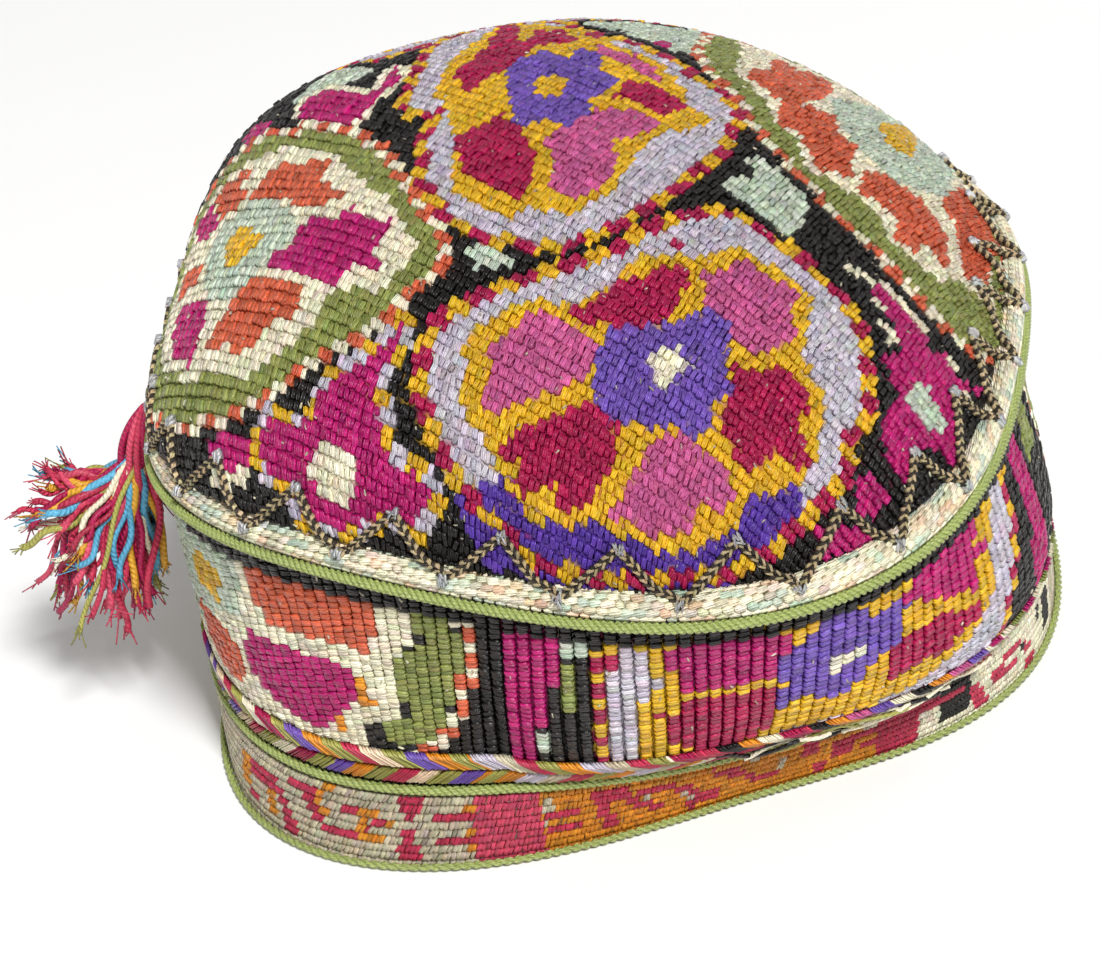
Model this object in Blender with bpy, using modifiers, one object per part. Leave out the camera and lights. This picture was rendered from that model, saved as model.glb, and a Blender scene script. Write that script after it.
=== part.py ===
"""Soft embroidered skullcap: a domed crown and a side band, an edge roll, trims, cords and a tassel.

The hat stands on its hem, the plane Z = 0. The origin is the middle of the head opening. Its outline
is not round: a short table gives the radii and heights at twelve azimuths, counted from +X towards
+Y, and a periodic curve runs through them. The front is -Y.
"""

import math

import bmesh
import bpy
import numpy as np

# Overall sizes, in metres
HAT_HEIGHT = 0.1180
HEM_RADIUS = 0.0870
SEAM_RADIUS = 0.0905
SEAM_HEIGHT = 0.0652
APEX_SHIFT_X = -0.0145

# Cloth walls
CROWN_WALL = 0.0022
BAND_WALL = 0.0024

# Widths of the strips that make the side, measured along the cloth
TAPE_WIDTH = 0.0150
TRIM_WIDTH = 0.0080
BAND_WIDTH = 0.0415

# Trims and cords
TAPE_WALL = 0.0018
TRIM_WALL = 0.0017
TAPE_CORD = 0.0022
HEM_CORD = 0.0016
ROLL_HEIGHT = 0.0057
ROLL_PROUD = 0.0013
ROLL_BRAID = 0.0022
ROLL_BRAID_ANGLE = -45.0
COUCHED_BRAID = 0.0017
ZIGZAG_PITCH = 0.0190
ZIGZAG_RISE = 0.0120
ZIGZAG_START = 0.0036
ZIGZAG_LEAN = 0.76
ZIGZAG_AZIMUTH = -2.7

# Tassel
TASSEL_LENGTH = 0.0380
TASSEL_KNOT = 0.0064
TASSEL_CORD = 0.0024
LOCK_WIDTH = 0.0044
TASSEL_AZIMUTH = 188.0

# Room between neighbours that touch, how far the band's top tucks under the roll, and the hem's step
GAP = 0.0003
TUCK = 0.0008
HEM_STEP = 0.0010

# Fineness of the model
STEPS = 60
CROWN_ROWS = 10
BAND_ROWS = 5
ROLL_SIDES = 8
LEG_POINTS = 4
SLACK_LEAST = 0.0005
ROLL_SHOULDER = 0.92
BELLY_SKEW = 0.50

# Outline by azimuth. hem and tape_top are shares of HEM_RADIUS, seam of SEAM_RADIUS, seam_rise of
# SEAM_HEIGHT. ease is how much of the band's width is let out there: more makes it bow out.
# fullness is the exponent of the crown's curve: 2 is an ellipse, more is fuller.
OUTLINE_COLUMNS = ("azimuth", "hem", "tape_top", "seam", "seam_rise", "ease", "fullness")
OUTLINE = (
    (0, 1.03, 1.00, 0.94, 1.00, 0.95, 1.90),
    (30, 1.09, 1.03, 0.98, 0.99, 0.96, 2.05),
    (60, 1.05, 1.02, 1.01, 1.02, 0.99, 2.20),
    (90, 1.04, 1.03, 1.01, 1.02, 0.99, 2.20),
    (120, 1.00, 1.02, 0.99, 1.03, 1.00, 2.15),
    (150, 1.00, 1.04, 0.95, 1.02, 0.99, 1.95),
    (180, 0.96, 1.00, 0.94, 1.02, 0.98, 1.70),
    (210, 1.09, 1.06, 1.04, 1.08, 1.03, 1.80),
    (240, 1.04, 1.00, 1.04, 1.07, 1.04, 2.00),
    (270, 0.86, 0.90, 1.08, 0.96, 1.03, 2.00),
    (300, 0.88, 0.92, 1.08, 0.92, 1.01, 2.00),
    (330, 1.01, 1.01, 0.95, 0.96, 0.97, 1.95),
)

# Dents and swells of the crown: place, depth as a share of HAT_HEIGHT (negative swells), and reach
# as a share of SEAM_RADIUS. climb runs from 0 at the seam to 1 at the apex.
DENT_COLUMNS = ("azimuth", "climb", "depth", "reach")
DENTS = (
    (352, 0.16, 0.030, 0.16),
    (262, 0.64, 0.010, 0.22),
    (214, 0.45, 0.012, 0.20),
    (322, 0.48, 0.012, 0.22),
    (285, 0.38, -0.010, 0.34),
    (142, 0.52, -0.016, 0.34),
)

# Locks of the tassel: out, along and down from its knot, as shares of TASSEL_LENGTH, and width as a
# share of LOCK_WIDTH
LOCK_COLUMNS = ("out", "along", "down", "width")
LOCKS = (
    (0.68, 0.06, 0.28, 0.75),
    (0.56, -0.22, 0.16, 0.75),
    (0.50, 0.16, 0.52, 1.00),
    (0.68, -0.05, 0.80, 1.05),
    (0.34, 0.26, 0.86, 0.95),
    (0.20, -0.16, 0.94, 1.15),
    (0.05, 0.12, 0.88, 1.10),
    (0.02, -0.42, 0.62, 0.90),
    (0.08, -0.20, 0.72, 1.00),
)

CLOTH_BLACK = (0.030, 0.024, 0.022, 1.0)
CREAM = (0.760, 0.700, 0.520, 1.0)
LIME = (0.400, 0.500, 0.140, 1.0)
BEIGE = (0.300, 0.260, 0.190, 1.0)
SATIN_PINK = (0.560, 0.090, 0.160, 1.0)
TAPE_RED = (0.600, 0.130, 0.170, 1.0)
TASSEL_RED = (0.450, 0.030, 0.080, 1.0)
BAND_MAGENTA = (0.330, 0.020, 0.130, 1.0)


def column(table, names, wanted):
    """One named column of a table, as an array."""
    return np.array([row[names.index(wanted)] for row in table], float)


def around(wanted, azimuth):
    """A column of OUTLINE at any azimuth in radians: the periodic series through its twelve rows."""
    values = column(OUTLINE, OUTLINE_COLUMNS, wanted)
    terms = np.fft.rfft(values) / len(values)
    weight = np.full(len(terms), 2.0)
    weight[[0, -1]] = 1.0
    turns = np.exp(1j * np.arange(len(terms)) * np.asarray(azimuth)[..., None])
    return (weight * terms * turns).real.sum(-1)


def hem_line(azimuth):
    """Radius of the tape's lower edge."""
    return HEM_RADIUS * around("hem", azimuth)


def tape_top_line(azimuth):
    """Radius and height of the tape's upper edge: the tape keeps its width as it leans."""
    radius = HEM_RADIUS * around("tape_top", azimuth)
    lean = radius - hem_line(azimuth)
    return radius, np.sqrt(np.maximum(TAPE_WIDTH**2 - lean**2, 0))


def tape_middle(azimuth):
    """Radius and height halfway up the tape's outer face, which swells a little."""
    top, height = tape_top_line(azimuth)
    return (hem_line(azimuth) + top) / 2 + TAPE_WALL / 6, height / 2


def seam_line(azimuth):
    """Radius and height of the seam between band and crown."""
    return SEAM_RADIUS * around("seam", azimuth), SEAM_HEIGHT * around("seam_rise", azimuth)


def strip_width():
    """Width of the cloth between the tape and the seam: cord, trim and band."""
    return TAPE_CORD + 2 * GAP + TRIM_WIDTH + BAND_WIDTH


def band_line(azimuth, share):
    """Radius and height of the band's outer face above the tape, share running from 0 to 1.

    The strip is about as wide all round, so where the crown sags it bows out: the bow is that of
    a shallow arc of the strip's width over the straight distance, fullest in its lower half.
    """
    low_radius, low_height = tape_top_line(azimuth)
    low_radius = low_radius - TAPE_WALL - GAP
    top_radius, top_height = seam_line(azimuth)
    top_radius = top_radius - TUCK
    across, rise = top_radius - low_radius, top_height + GAP - low_height
    chord = np.hypot(across, rise)
    slack = np.maximum(strip_width() * around("ease", azimuth) / chord - 1, SLACK_LEAST)
    lowered = share + BELLY_SKEW * share * (1 - share)
    bow = chord * np.sqrt(0.375 * slack) * np.sin(np.pi * lowered)
    radius = low_radius + share * across + bow * rise / chord
    height = low_height + share * rise - bow * across / chord
    return radius, height


def band_outward(azimuth, share):
    """Outward direction of the band's face in its section, as radius and height."""
    step = 1e-3
    before = band_line(azimuth, np.maximum(share - step, 0))
    after = band_line(azimuth, share + step)
    run, rise = after[0] - before[0], after[1] - before[1]
    length = np.hypot(run, rise)
    return rise / length, -run / length


def off_band(azimuth, distance, height):
    """A point a distance up the strip and a height off its face."""
    share = distance / strip_width()
    radius, rise = band_line(azimuth, share)
    out, up = band_outward(azimuth, share)
    return radius + height * out, rise + height * up


def corner_rise(azimuth, cord):
    """How far up the strip a cord lies that rests in the corner of tape and band."""
    out, up = band_outward(azimuth, np.zeros_like(azimuth))
    lean = np.maximum(-up, 0)
    return (cord / 2 + GAP) * (1 + lean) / out


def roll_depth():
    """The roll fills the room from the crown's cloth to the face that stands proud of the seam."""
    return TUCK + BAND_WALL + ROLL_PROUD


def roll_point(azimuth, angle, room=0.0):
    """A point of the roll's oval section, angle from straight out, plus room off its face."""
    radius, height = seam_line(azimuth)
    half_depth, half_height = roll_depth() / 2, ROLL_HEIGHT / 2
    middle_radius = radius + ROLL_PROUD - half_depth
    middle_height = height + 2 * GAP + half_height
    out, up = np.cos(angle) / half_depth, np.sin(angle) / half_height
    length = np.hypot(out, up)
    return (
        middle_radius + half_depth * np.cos(angle) + room * out / length,
        middle_height + half_height * np.sin(angle) + room * up / length,
    )


def smooth_step(value):
    """0 below 0, 1 above 1, and a smooth S between."""
    value = np.clip(value, 0, 1)
    return value * value * (3 - 2 * value)


def climb_at(azimuth, rise):
    """The climb at which the crown's face is a given rise above the seam."""
    low = seam_line(azimuth)[1] + GAP
    return np.arcsin((rise / (HAT_HEIGHT - low)) ** (around("fullness", azimuth) / 2)) * 2 / np.pi


def crown_point(azimuth, climb):
    """X, Y and Z of the crown's outer face, climb running from 0 at the seam to 1 at the apex.

    Each azimuth is a quarter of a rounded curve from the seam to the shared apex. Behind the roll
    it is held in by the roll's depth, and it comes out over the roll's top. Dents are hollows.
    """
    fullness = around("fullness", azimuth)
    radius, low = seam_line(azimuth)
    low = low + GAP
    angle = climb * np.pi / 2
    spread = np.cos(angle) ** (2 / fullness)
    lift = np.sin(angle) ** (2 / fullness)
    height = low + lift * (HAT_HEIGHT - low)
    over_roll = smooth_step((height - low - ROLL_SHOULDER * ROLL_HEIGHT) / (0.5 * ROLL_HEIGHT))
    set_in = roll_depth() - ROLL_PROUD + GAP
    x = lift * APEX_SHIFT_X + spread * radius * np.cos(azimuth)
    y = spread * radius * np.sin(azimuth)
    held = np.minimum(1, (radius + (2 * over_roll - 1) * set_in) / np.maximum(np.hypot(x, y), GAP))
    point = np.stack([x * held, y * held, height], -1)
    return point - dents(point)


def dents(point):
    """How far the crown's dents move a point in towards the middle of the hat."""
    middle = np.array([APEX_SHIFT_X / 2, 0.0, SEAM_HEIGHT / 2])
    moved = np.zeros_like(point)
    clear = smooth_step((point[..., 2] - SEAM_HEIGHT * 1.05 - ROLL_HEIGHT) / ROLL_HEIGHT)
    for values in DENTS:
        row = dict(zip(DENT_COLUMNS, values))
        at = math.radians(row["azimuth"])
        rise = math.sin(row["climb"] * math.pi / 2)
        spread = math.cos(row["climb"] * math.pi / 2)
        place = np.array(
            [
                rise * APEX_SHIFT_X + spread * SEAM_RADIUS * math.cos(at),
                spread * SEAM_RADIUS * math.sin(at),
                SEAM_HEIGHT + rise * (HAT_HEIGHT - SEAM_HEIGHT),
            ]
        )
        near = np.exp(-(((point - place) / (row["reach"] * SEAM_RADIUS)) ** 2).sum(-1))
        inward = point - middle
        inward = inward / np.linalg.norm(inward, axis=-1, keepdims=True)
        moved += (row["depth"] * HAT_HEIGHT * near * clear)[..., None] * inward
    return moved


def turned(azimuth, radius, height):
    """Points from azimuth, radius and height."""
    return np.stack([radius * np.cos(azimuth), radius * np.sin(azimuth), height], -1)


def azimuths(count=STEPS):
    """Evenly spread azimuths, as a column."""
    return (np.arange(count) * 2 * np.pi / count)[:, None]


def finish(name, colour, roughness):
    """A plain material for one piece."""
    made = bpy.data.materials.new(name)
    made.use_nodes = True
    shader = made.node_tree.nodes["Principled BSDF"]
    shader.inputs["Base Color"].default_value = colour
    shader.inputs["Roughness"].default_value = roughness
    return made


def place(name, data, collection, colour, roughness):
    """Puts mesh or curve data in the scene as a named object with its own material."""
    made = bpy.data.objects.new(name, data)
    data.materials.append(finish(name, colour, roughness))
    collection.objects.link(made)
    return made


def closed_ring(name, points):
    """Mesh of a closed section carried round the hat. points run by azimuth, then round the section.

    Each patch is cut from its lower corner here to its upper corner at the next azimuth, so that
    faces which lie against each other are cut alike and keep their gap where the outline twists.
    """
    steps, sides = points.shape[:2]
    shape = bmesh.new()
    rings = [[shape.verts.new(point) for point in ring] for ring in points]
    for step in range(steps):
        here, after = rings[step], rings[(step + 1) % steps]
        for side in range(sides):
            beyond = (side + 1) % sides
            a, b, c, d = here[side], after[side], after[beyond], here[beyond]
            rises = points[step, beyond, 2] >= points[step, side, 2]
            for corners in ((a, b, c), (a, c, d)) if rises else ((a, b, d), (b, c, d)):
                shape.faces.new(corners)
    bmesh.ops.recalc_face_normals(shape, faces=shape.faces)
    mesh = bpy.data.meshes.new(name)
    shape.to_mesh(mesh)
    shape.free()
    mesh.shade_smooth()
    return mesh


def cord_curve(name, points, diameter, sides_step, closed=True):
    """A cord as a bevelled curve through points."""
    curve = bpy.data.curves.new(name, "CURVE")
    curve.dimensions = "3D"
    curve.bevel_depth = diameter / 2
    curve.bevel_resolution = sides_step
    curve.use_fill_caps = not closed
    spline = curve.splines.new("POLY")
    spline.points.add(len(points) - 1)
    for target, point in zip(spline.points, points):
        target.co = (*point, 1.0)
    spline.use_cyclic_u = closed
    return curve


def make_tape(collection):
    """The woven tape: a leaning flat strip with its lower edge flat on the hem plane."""
    at = azimuths()
    hem = hem_line(at)
    top, height = tape_top_line(at)
    middle = tape_middle(at)[0]
    zero = np.zeros_like(hem)
    radius = np.concatenate([hem, middle, top, top - TAPE_WALL, hem - TAPE_WALL], 1)
    rise = np.concatenate([zero, height / 2, height, height, zero], 1)
    mesh = closed_ring("edge_tape", turned(at, radius, rise))
    return place("edge_tape", mesh, collection, TAPE_RED, 0.7)


def trim_low(azimuth):
    """How far up the strip the chevron trim starts, above the tape's cord."""
    return corner_rise(azimuth, TAPE_CORD) + TAPE_CORD / 2 + GAP


def make_band(collection):
    """The cloth wall: it starts behind the tape and ends under the edge roll.

    Its rows run along the trim's two edges and middle, so that the trim lies flat on it.
    """
    at = azimuths()
    low = trim_low(at) / strip_width()
    high = low + TRIM_WIDTH / strip_width()
    share = np.concatenate([0 * low, low, (low + high) / 2, high], 1)
    above = np.linspace(0, 1, BAND_ROWS)[None, 1:]
    share = np.concatenate([share, high + above * (1 - high)], 1)
    face_radius, face_rise = band_line(at, share)
    out, up = band_outward(at, share)
    out[:, -1], up[:, -1] = 1.0, 0.0
    top, height = tape_top_line(at)
    hem = hem_line(at)
    foot_radius = hem + (top - hem) * HEM_STEP / height - TAPE_WALL - GAP
    foot_rise = np.full_like(foot_radius, HEM_STEP)
    outer_radius = np.concatenate([foot_radius, face_radius], 1)
    outer_rise = np.concatenate([foot_rise, face_rise], 1)
    inner_radius = np.concatenate([foot_radius - BAND_WALL, face_radius - BAND_WALL * out], 1)
    inner_rise = np.concatenate([foot_rise, face_rise - BAND_WALL * up], 1)
    radius = np.concatenate([outer_radius, inner_radius[:, ::-1]], 1)
    rise = np.concatenate([outer_rise, inner_rise[:, ::-1]], 1)
    mesh = closed_ring("side_band", turned(at, radius, rise))
    return place("side_band", mesh, collection, BAND_MAGENTA, 0.75)


def make_trim(collection):
    """The chevron trim: a low rounded strip that lies on the band above the tape's cord."""
    at = azimuths()
    low = trim_low(at)
    shares = (0.0, 0.0, 0.25, 0.75, 1.0, 1.0, 0.5)
    heights = (GAP, 0.6 * TRIM_WALL, TRIM_WALL, TRIM_WALL, 0.6 * TRIM_WALL, GAP, GAP)
    section = [off_band(at, low + s * TRIM_WIDTH, h) for s, h in zip(shares, heights)]
    radius = np.concatenate([point[0] for point in section], 1)
    rise = np.concatenate([point[1] for point in section], 1)
    mesh = closed_ring("chevron_trim", turned(at, radius, rise))
    return place("chevron_trim", mesh, collection, SATIN_PINK, 0.55)


def make_roll(collection):
    """The padded edge roll: an oval section on the seam."""
    at = azimuths()
    angle = (np.arange(ROLL_SIDES) * 2 * np.pi / ROLL_SIDES)[None, :]
    mesh = closed_ring("edge_roll", turned(at, *roll_point(at, angle)))
    return place("edge_roll", mesh, collection, CREAM, 0.7)


def make_crown(collection):
    """The crown: rings of the outer face closed at the apex, given its wall inwards.

    The lowest rings follow the step behind the roll. The others are spread evenly up to the apex.
    """
    at = azimuths()
    step_rises = np.array([[0.0, ROLL_SHOULDER, ROLL_SHOULDER + 0.25, ROLL_SHOULDER + 0.5]])
    behind = climb_at(at, step_rises * ROLL_HEIGHT)
    above = np.linspace(0, 1, CROWN_ROWS - step_rises.size + 2)[None, 1:-1]
    above = behind[:, -1:] + above * (1 - behind[:, -1:])
    points = crown_point(at, np.concatenate([behind, above], 1))
    apex = crown_point(np.zeros((1, 1)), np.ones((1, 1)))[0, 0]
    shape = bmesh.new()
    rings = [[shape.verts.new(point) for point in points[:, row]] for row in range(CROWN_ROWS)]
    for low, high in zip(rings, rings[1:]):
        for step in range(STEPS):
            after = (step + 1) % STEPS
            shape.faces.new((low[step], low[after], high[after], high[step]))
    top = shape.verts.new(apex)
    for step in range(STEPS):
        shape.faces.new((rings[-1][step], rings[-1][(step + 1) % STEPS], top))
    mesh = bpy.data.meshes.new("crown")
    shape.to_mesh(mesh)
    shape.free()
    mesh.shade_smooth()
    made = place("crown", mesh, collection, CLOTH_BLACK, 0.8)
    wall = made.modifiers.new("wall", "SOLIDIFY")
    wall.thickness = CROWN_WALL
    wall.offset = -1.0
    return made


def make_cords(collection):
    """The twisted cords that lie along the tape's two edges and under the roll."""
    at = azimuths()
    corner = corner_rise(at, TAPE_CORD)
    top = turned(at, *off_band(at, corner, TAPE_CORD / 2 + GAP))[:, 0]
    beside = HEM_CORD / 2 + GAP
    middle, halfway = tape_middle(at)
    slope = (middle - hem_line(at)) / halfway
    hem_radius = hem_line(at) + beside * (slope + np.sqrt(1 + slope**2))
    hem = turned(at, hem_radius, np.full_like(hem_radius, beside))[:, 0]
    under = turned(at, *roll_point(at, math.radians(ROLL_BRAID_ANGLE), ROLL_BRAID / 2 + GAP))[:, 0]
    place("tape_top_cord", cord_curve("tape_top_cord", top, TAPE_CORD, 1), collection, LIME, 0.6)
    place("hem_cord", cord_curve("hem_cord", hem, HEM_CORD, 1), collection, LIME, 0.6)
    place("roll_braid", cord_curve("roll_braid", under, ROLL_BRAID, 1), collection, LIME, 0.6)


def over_seam(azimuth, distance, room):
    """A point a distance up from the seam, over the roll and on up the crown, with room off it."""
    samples = 60
    roll_angle = np.linspace(-0.25, 0.36, samples) * np.pi
    roll = turned(azimuth, *roll_point(azimuth, roll_angle, room))
    climb = np.linspace(0.0, 0.5, 4 * samples)
    crown = crown_point(np.full_like(climb, azimuth), climb)
    run = np.gradient(crown, axis=0)
    along = np.array([-math.sin(azimuth), math.cos(azimuth), 0.0])
    outward = np.cross(along, run)
    outward /= np.linalg.norm(outward, axis=1, keepdims=True)
    crown = (crown + outward * room)[crown[:, 2] > roll[-1, 2] + ROLL_HEIGHT / 4]
    line = np.concatenate([roll, crown])
    length = np.concatenate([[0], np.cumsum(np.linalg.norm(np.diff(line, axis=0), axis=1))])
    return np.array([np.interp(distance, length, line[:, axis]) for axis in range(3)])


def make_couched_braid(collection):
    """The zigzag braid: straight legs between knots low on the roll and knots up on the crown.

    It leans, so that a rising leg takes ZIGZAG_LEAN of the pitch and a falling leg the rest.
    """
    count = round(2 * math.pi * SEAM_RADIUS / ZIGZAG_PITCH)
    room = COUCHED_BRAID / 2 + 2 * GAP
    start = math.radians(ZIGZAG_AZIMUTH)
    points = []
    for leg in range(2 * count):
        rising = leg % 2 == 0
        for step in range(LEG_POINTS):
            share = step / LEG_POINTS
            climb = share if rising else 1 - share
            run = share * ZIGZAG_LEAN if rising else ZIGZAG_LEAN + share * (1 - ZIGZAG_LEAN)
            azimuth = start + (leg // 2 + run) * 2 * math.pi / count
            points.append(over_seam(azimuth, ZIGZAG_START + climb * ZIGZAG_RISE, room))
    curve = cord_curve("couched_braid", points, COUCHED_BRAID, 0)
    return place("couched_braid", curve, collection, BEIGE, 0.7)


def tassel_frame():
    """Where the tassel leaves the roll, its knot, and its directions out, along and down."""
    azimuth = math.radians(TASSEL_AZIMUTH)
    angle = math.radians(12)
    seat = turned(azimuth, *roll_point(azimuth, angle, TASSEL_CORD / 2 + GAP))
    out = np.array([math.cos(azimuth), math.sin(azimuth), 0.0])
    along = np.array([-math.sin(azimuth), math.cos(azimuth), 0.0])
    down = np.array([0.0, 0.0, -1.0])
    knot = seat + out * 0.6 * TASSEL_KNOT + down * 1.7 * TASSEL_KNOT
    return seat, knot, out, along, down


def as_mesh_object(curve, name, collection):
    """A curve's evaluated mesh as a new object with its caps welded. The curve is removed."""
    source = bpy.data.objects.new(name + "_curve", curve)
    collection.objects.link(source)
    graph = bpy.context.evaluated_depsgraph_get()
    mesh = bpy.data.meshes.new_from_object(source.evaluated_get(graph))
    bpy.data.objects.remove(source)
    shape = bmesh.new()
    shape.from_mesh(mesh)
    bmesh.ops.remove_doubles(shape, verts=shape.verts, dist=1e-6)
    shape.to_mesh(mesh)
    shape.free()
    made = bpy.data.objects.new(name, mesh)
    collection.objects.link(made)
    return made


def lock_points(knot, out, along, down, row):
    """A lock bends from the knot's way down to its own tip: a quadratic curve."""
    reach = TASSEL_LENGTH
    tip = knot + reach * (row["out"] * out + row["along"] * along + row["down"] * down)
    bend = knot + reach * (0.55 * row["out"] * out + 0.5 * row["along"] * along + 0.25 * down)
    share = np.linspace(0, 1, 6)[:, None]
    return (1 - share) ** 2 * knot + 2 * share * (1 - share) * bend + share**2 * tip


def make_tassel(collection, cutters):
    """The tassel: tapered locks joined to a round knot, and the short cord that it hangs on."""
    seat, knot, out, along, down = tassel_frame()
    bpy.ops.mesh.primitive_uv_sphere_add(
        segments=12, ring_count=8, radius=TASSEL_KNOT / 2, location=knot
    )
    made = bpy.context.object
    made.name = made.data.name = "tassel"
    for owner in list(made.users_collection):
        owner.objects.unlink(made)
    collection.objects.link(made)
    made.data.materials.append(finish("tassel", TASSEL_RED, 0.65))
    for number, values in enumerate(LOCKS):
        row = dict(zip(LOCK_COLUMNS, values))
        points = lock_points(knot, out, along, down, row)
        curve = cord_curve("lock", points, row["width"] * LOCK_WIDTH, 1, closed=False)
        for point, radius in zip(curve.splines[0].points, (0.55, 0.85, 1.0, 0.95, 0.75, 0.4)):
            point.radius = radius
        lock = as_mesh_object(curve, f"lock_{number}", cutters)
        lock.hide_render = True
        lock.display_type = "WIRE"
        joined = made.modifiers.new(f"lock_{number}", "BOOLEAN")
        joined.operation = "UNION"
        joined.object = lock
    clear = TASSEL_KNOT / 2 + 2 * GAP
    way = (seat - knot) / np.linalg.norm(seat - knot)
    ends = [seat, knot + way * clear]
    share = np.linspace(0, 1, 7)[:, None]
    sag = np.sin(np.pi * share) ** 2 * TASSEL_CORD * 0.5 * out
    points = ends[0] * (1 - share) + ends[1] * share + sag
    curve = cord_curve("tassel_cord", points, TASSEL_CORD, 1, closed=False)
    place("tassel_cord", curve, collection, TASSEL_RED, 0.65)
    return made


def main():
    """Clears the scene and builds the hat."""
    for old in list(bpy.data.objects):
        bpy.data.objects.remove(old)
    hat = bpy.data.collections.new("skullcap")
    cutters = bpy.data.collections.new("cutters")
    bpy.context.scene.collection.children.link(hat)
    bpy.context.scene.collection.children.link(cutters)
    make_tape(hat)
    make_band(hat)
    make_trim(hat)
    make_roll(hat)
    make_crown(hat)
    make_cords(hat)
    make_couched_braid(hat)
    make_tassel(hat, cutters)


main()
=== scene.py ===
"""The looks of an embroidered skullcap.

Every stitch, cord and thread is laid on the hat's own surfaces, which are worked out here from the
same named sizes as its solids. Places on a surface are given in millimetres or degrees on its flat
chart. Points in space are in metres: the hem stands on Z = 0 and the hat's front is -Y.
"""

from __future__ import annotations

import logging
import math
from dataclasses import dataclass, field, replace
from enum import Enum
from typing import Protocol, Sequence

import bpy
import numpy as np
from mathutils import Matrix, Vector

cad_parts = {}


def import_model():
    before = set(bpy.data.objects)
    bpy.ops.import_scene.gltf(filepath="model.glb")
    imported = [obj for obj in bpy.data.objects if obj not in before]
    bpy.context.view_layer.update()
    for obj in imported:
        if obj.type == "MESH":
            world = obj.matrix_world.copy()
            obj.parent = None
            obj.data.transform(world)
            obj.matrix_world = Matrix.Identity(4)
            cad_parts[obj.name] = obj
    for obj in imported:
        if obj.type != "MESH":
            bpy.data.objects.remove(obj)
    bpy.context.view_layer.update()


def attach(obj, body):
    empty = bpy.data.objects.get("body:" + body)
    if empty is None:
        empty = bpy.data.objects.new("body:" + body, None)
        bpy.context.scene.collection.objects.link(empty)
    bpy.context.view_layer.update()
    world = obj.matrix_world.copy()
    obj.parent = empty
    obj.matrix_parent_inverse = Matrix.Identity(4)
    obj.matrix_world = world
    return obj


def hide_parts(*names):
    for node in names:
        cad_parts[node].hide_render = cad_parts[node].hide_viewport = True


LOG = logging.getLogger("skullcap")
MM = 1e-3
SEED = 7


class Silk(Enum):
    """Thread colours, as sRGB hex."""

    BLACK = "151110"
    MAGENTA = "b5176a"
    CRIMSON = "a8124a"
    PINK = "c65a90"
    YELLOW = "e0b020"
    LILAC = "c8c0cc"
    PURPLE = "7252ae"
    DEEP_PURPLE = "56339a"
    CREAM = "ece4c8"
    MINT = "c4d0bc"
    GREEN = "8a914c"
    CORAL = "d0603f"
    PEACH = "e9cfae"
    LIME = "9aa760"
    ORANGE = "db8b22"
    RED = "c03050"
    BLUE = "5aa5c8"
    OLIVE = "a3a050"
    GOLD = "d9a030"
    BEIGE = "cbb68c"
    UMBER = "3a3128"
    ASH = "c6c6c8"
    WHEAT = "c8bda2"
    ROSE = "d24a66"

    def linear(self) -> np.ndarray:
        """The colour as linear red, green and blue."""
        srgb = np.array([int(self.value[at : at + 2], 16) for at in (0, 2, 4)]) / 255
        return np.where(srgb > 0.04045, ((srgb + 0.055) / 1.055) ** 2.4, srgb / 12.92)


THREADS = list(Silk)
PALETTE = np.array([thread.linear() for thread in THREADS])


def colours_of(numbers: np.ndarray) -> np.ndarray:
    """Linear colours for an array of thread numbers, which are places in THREADS."""
    return PALETTE[numbers]


def unit(vectors: np.ndarray) -> np.ndarray:
    """Vectors of length 1."""
    return vectors / np.maximum(np.linalg.norm(vectors, axis=-1, keepdims=True), 1e-12)


def smooth_step(value: np.ndarray) -> np.ndarray:
    """0 below 0, 1 above 1, and a smooth S between."""
    value = np.clip(value, 0, 1)
    return value * value * (3 - 2 * value)


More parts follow.
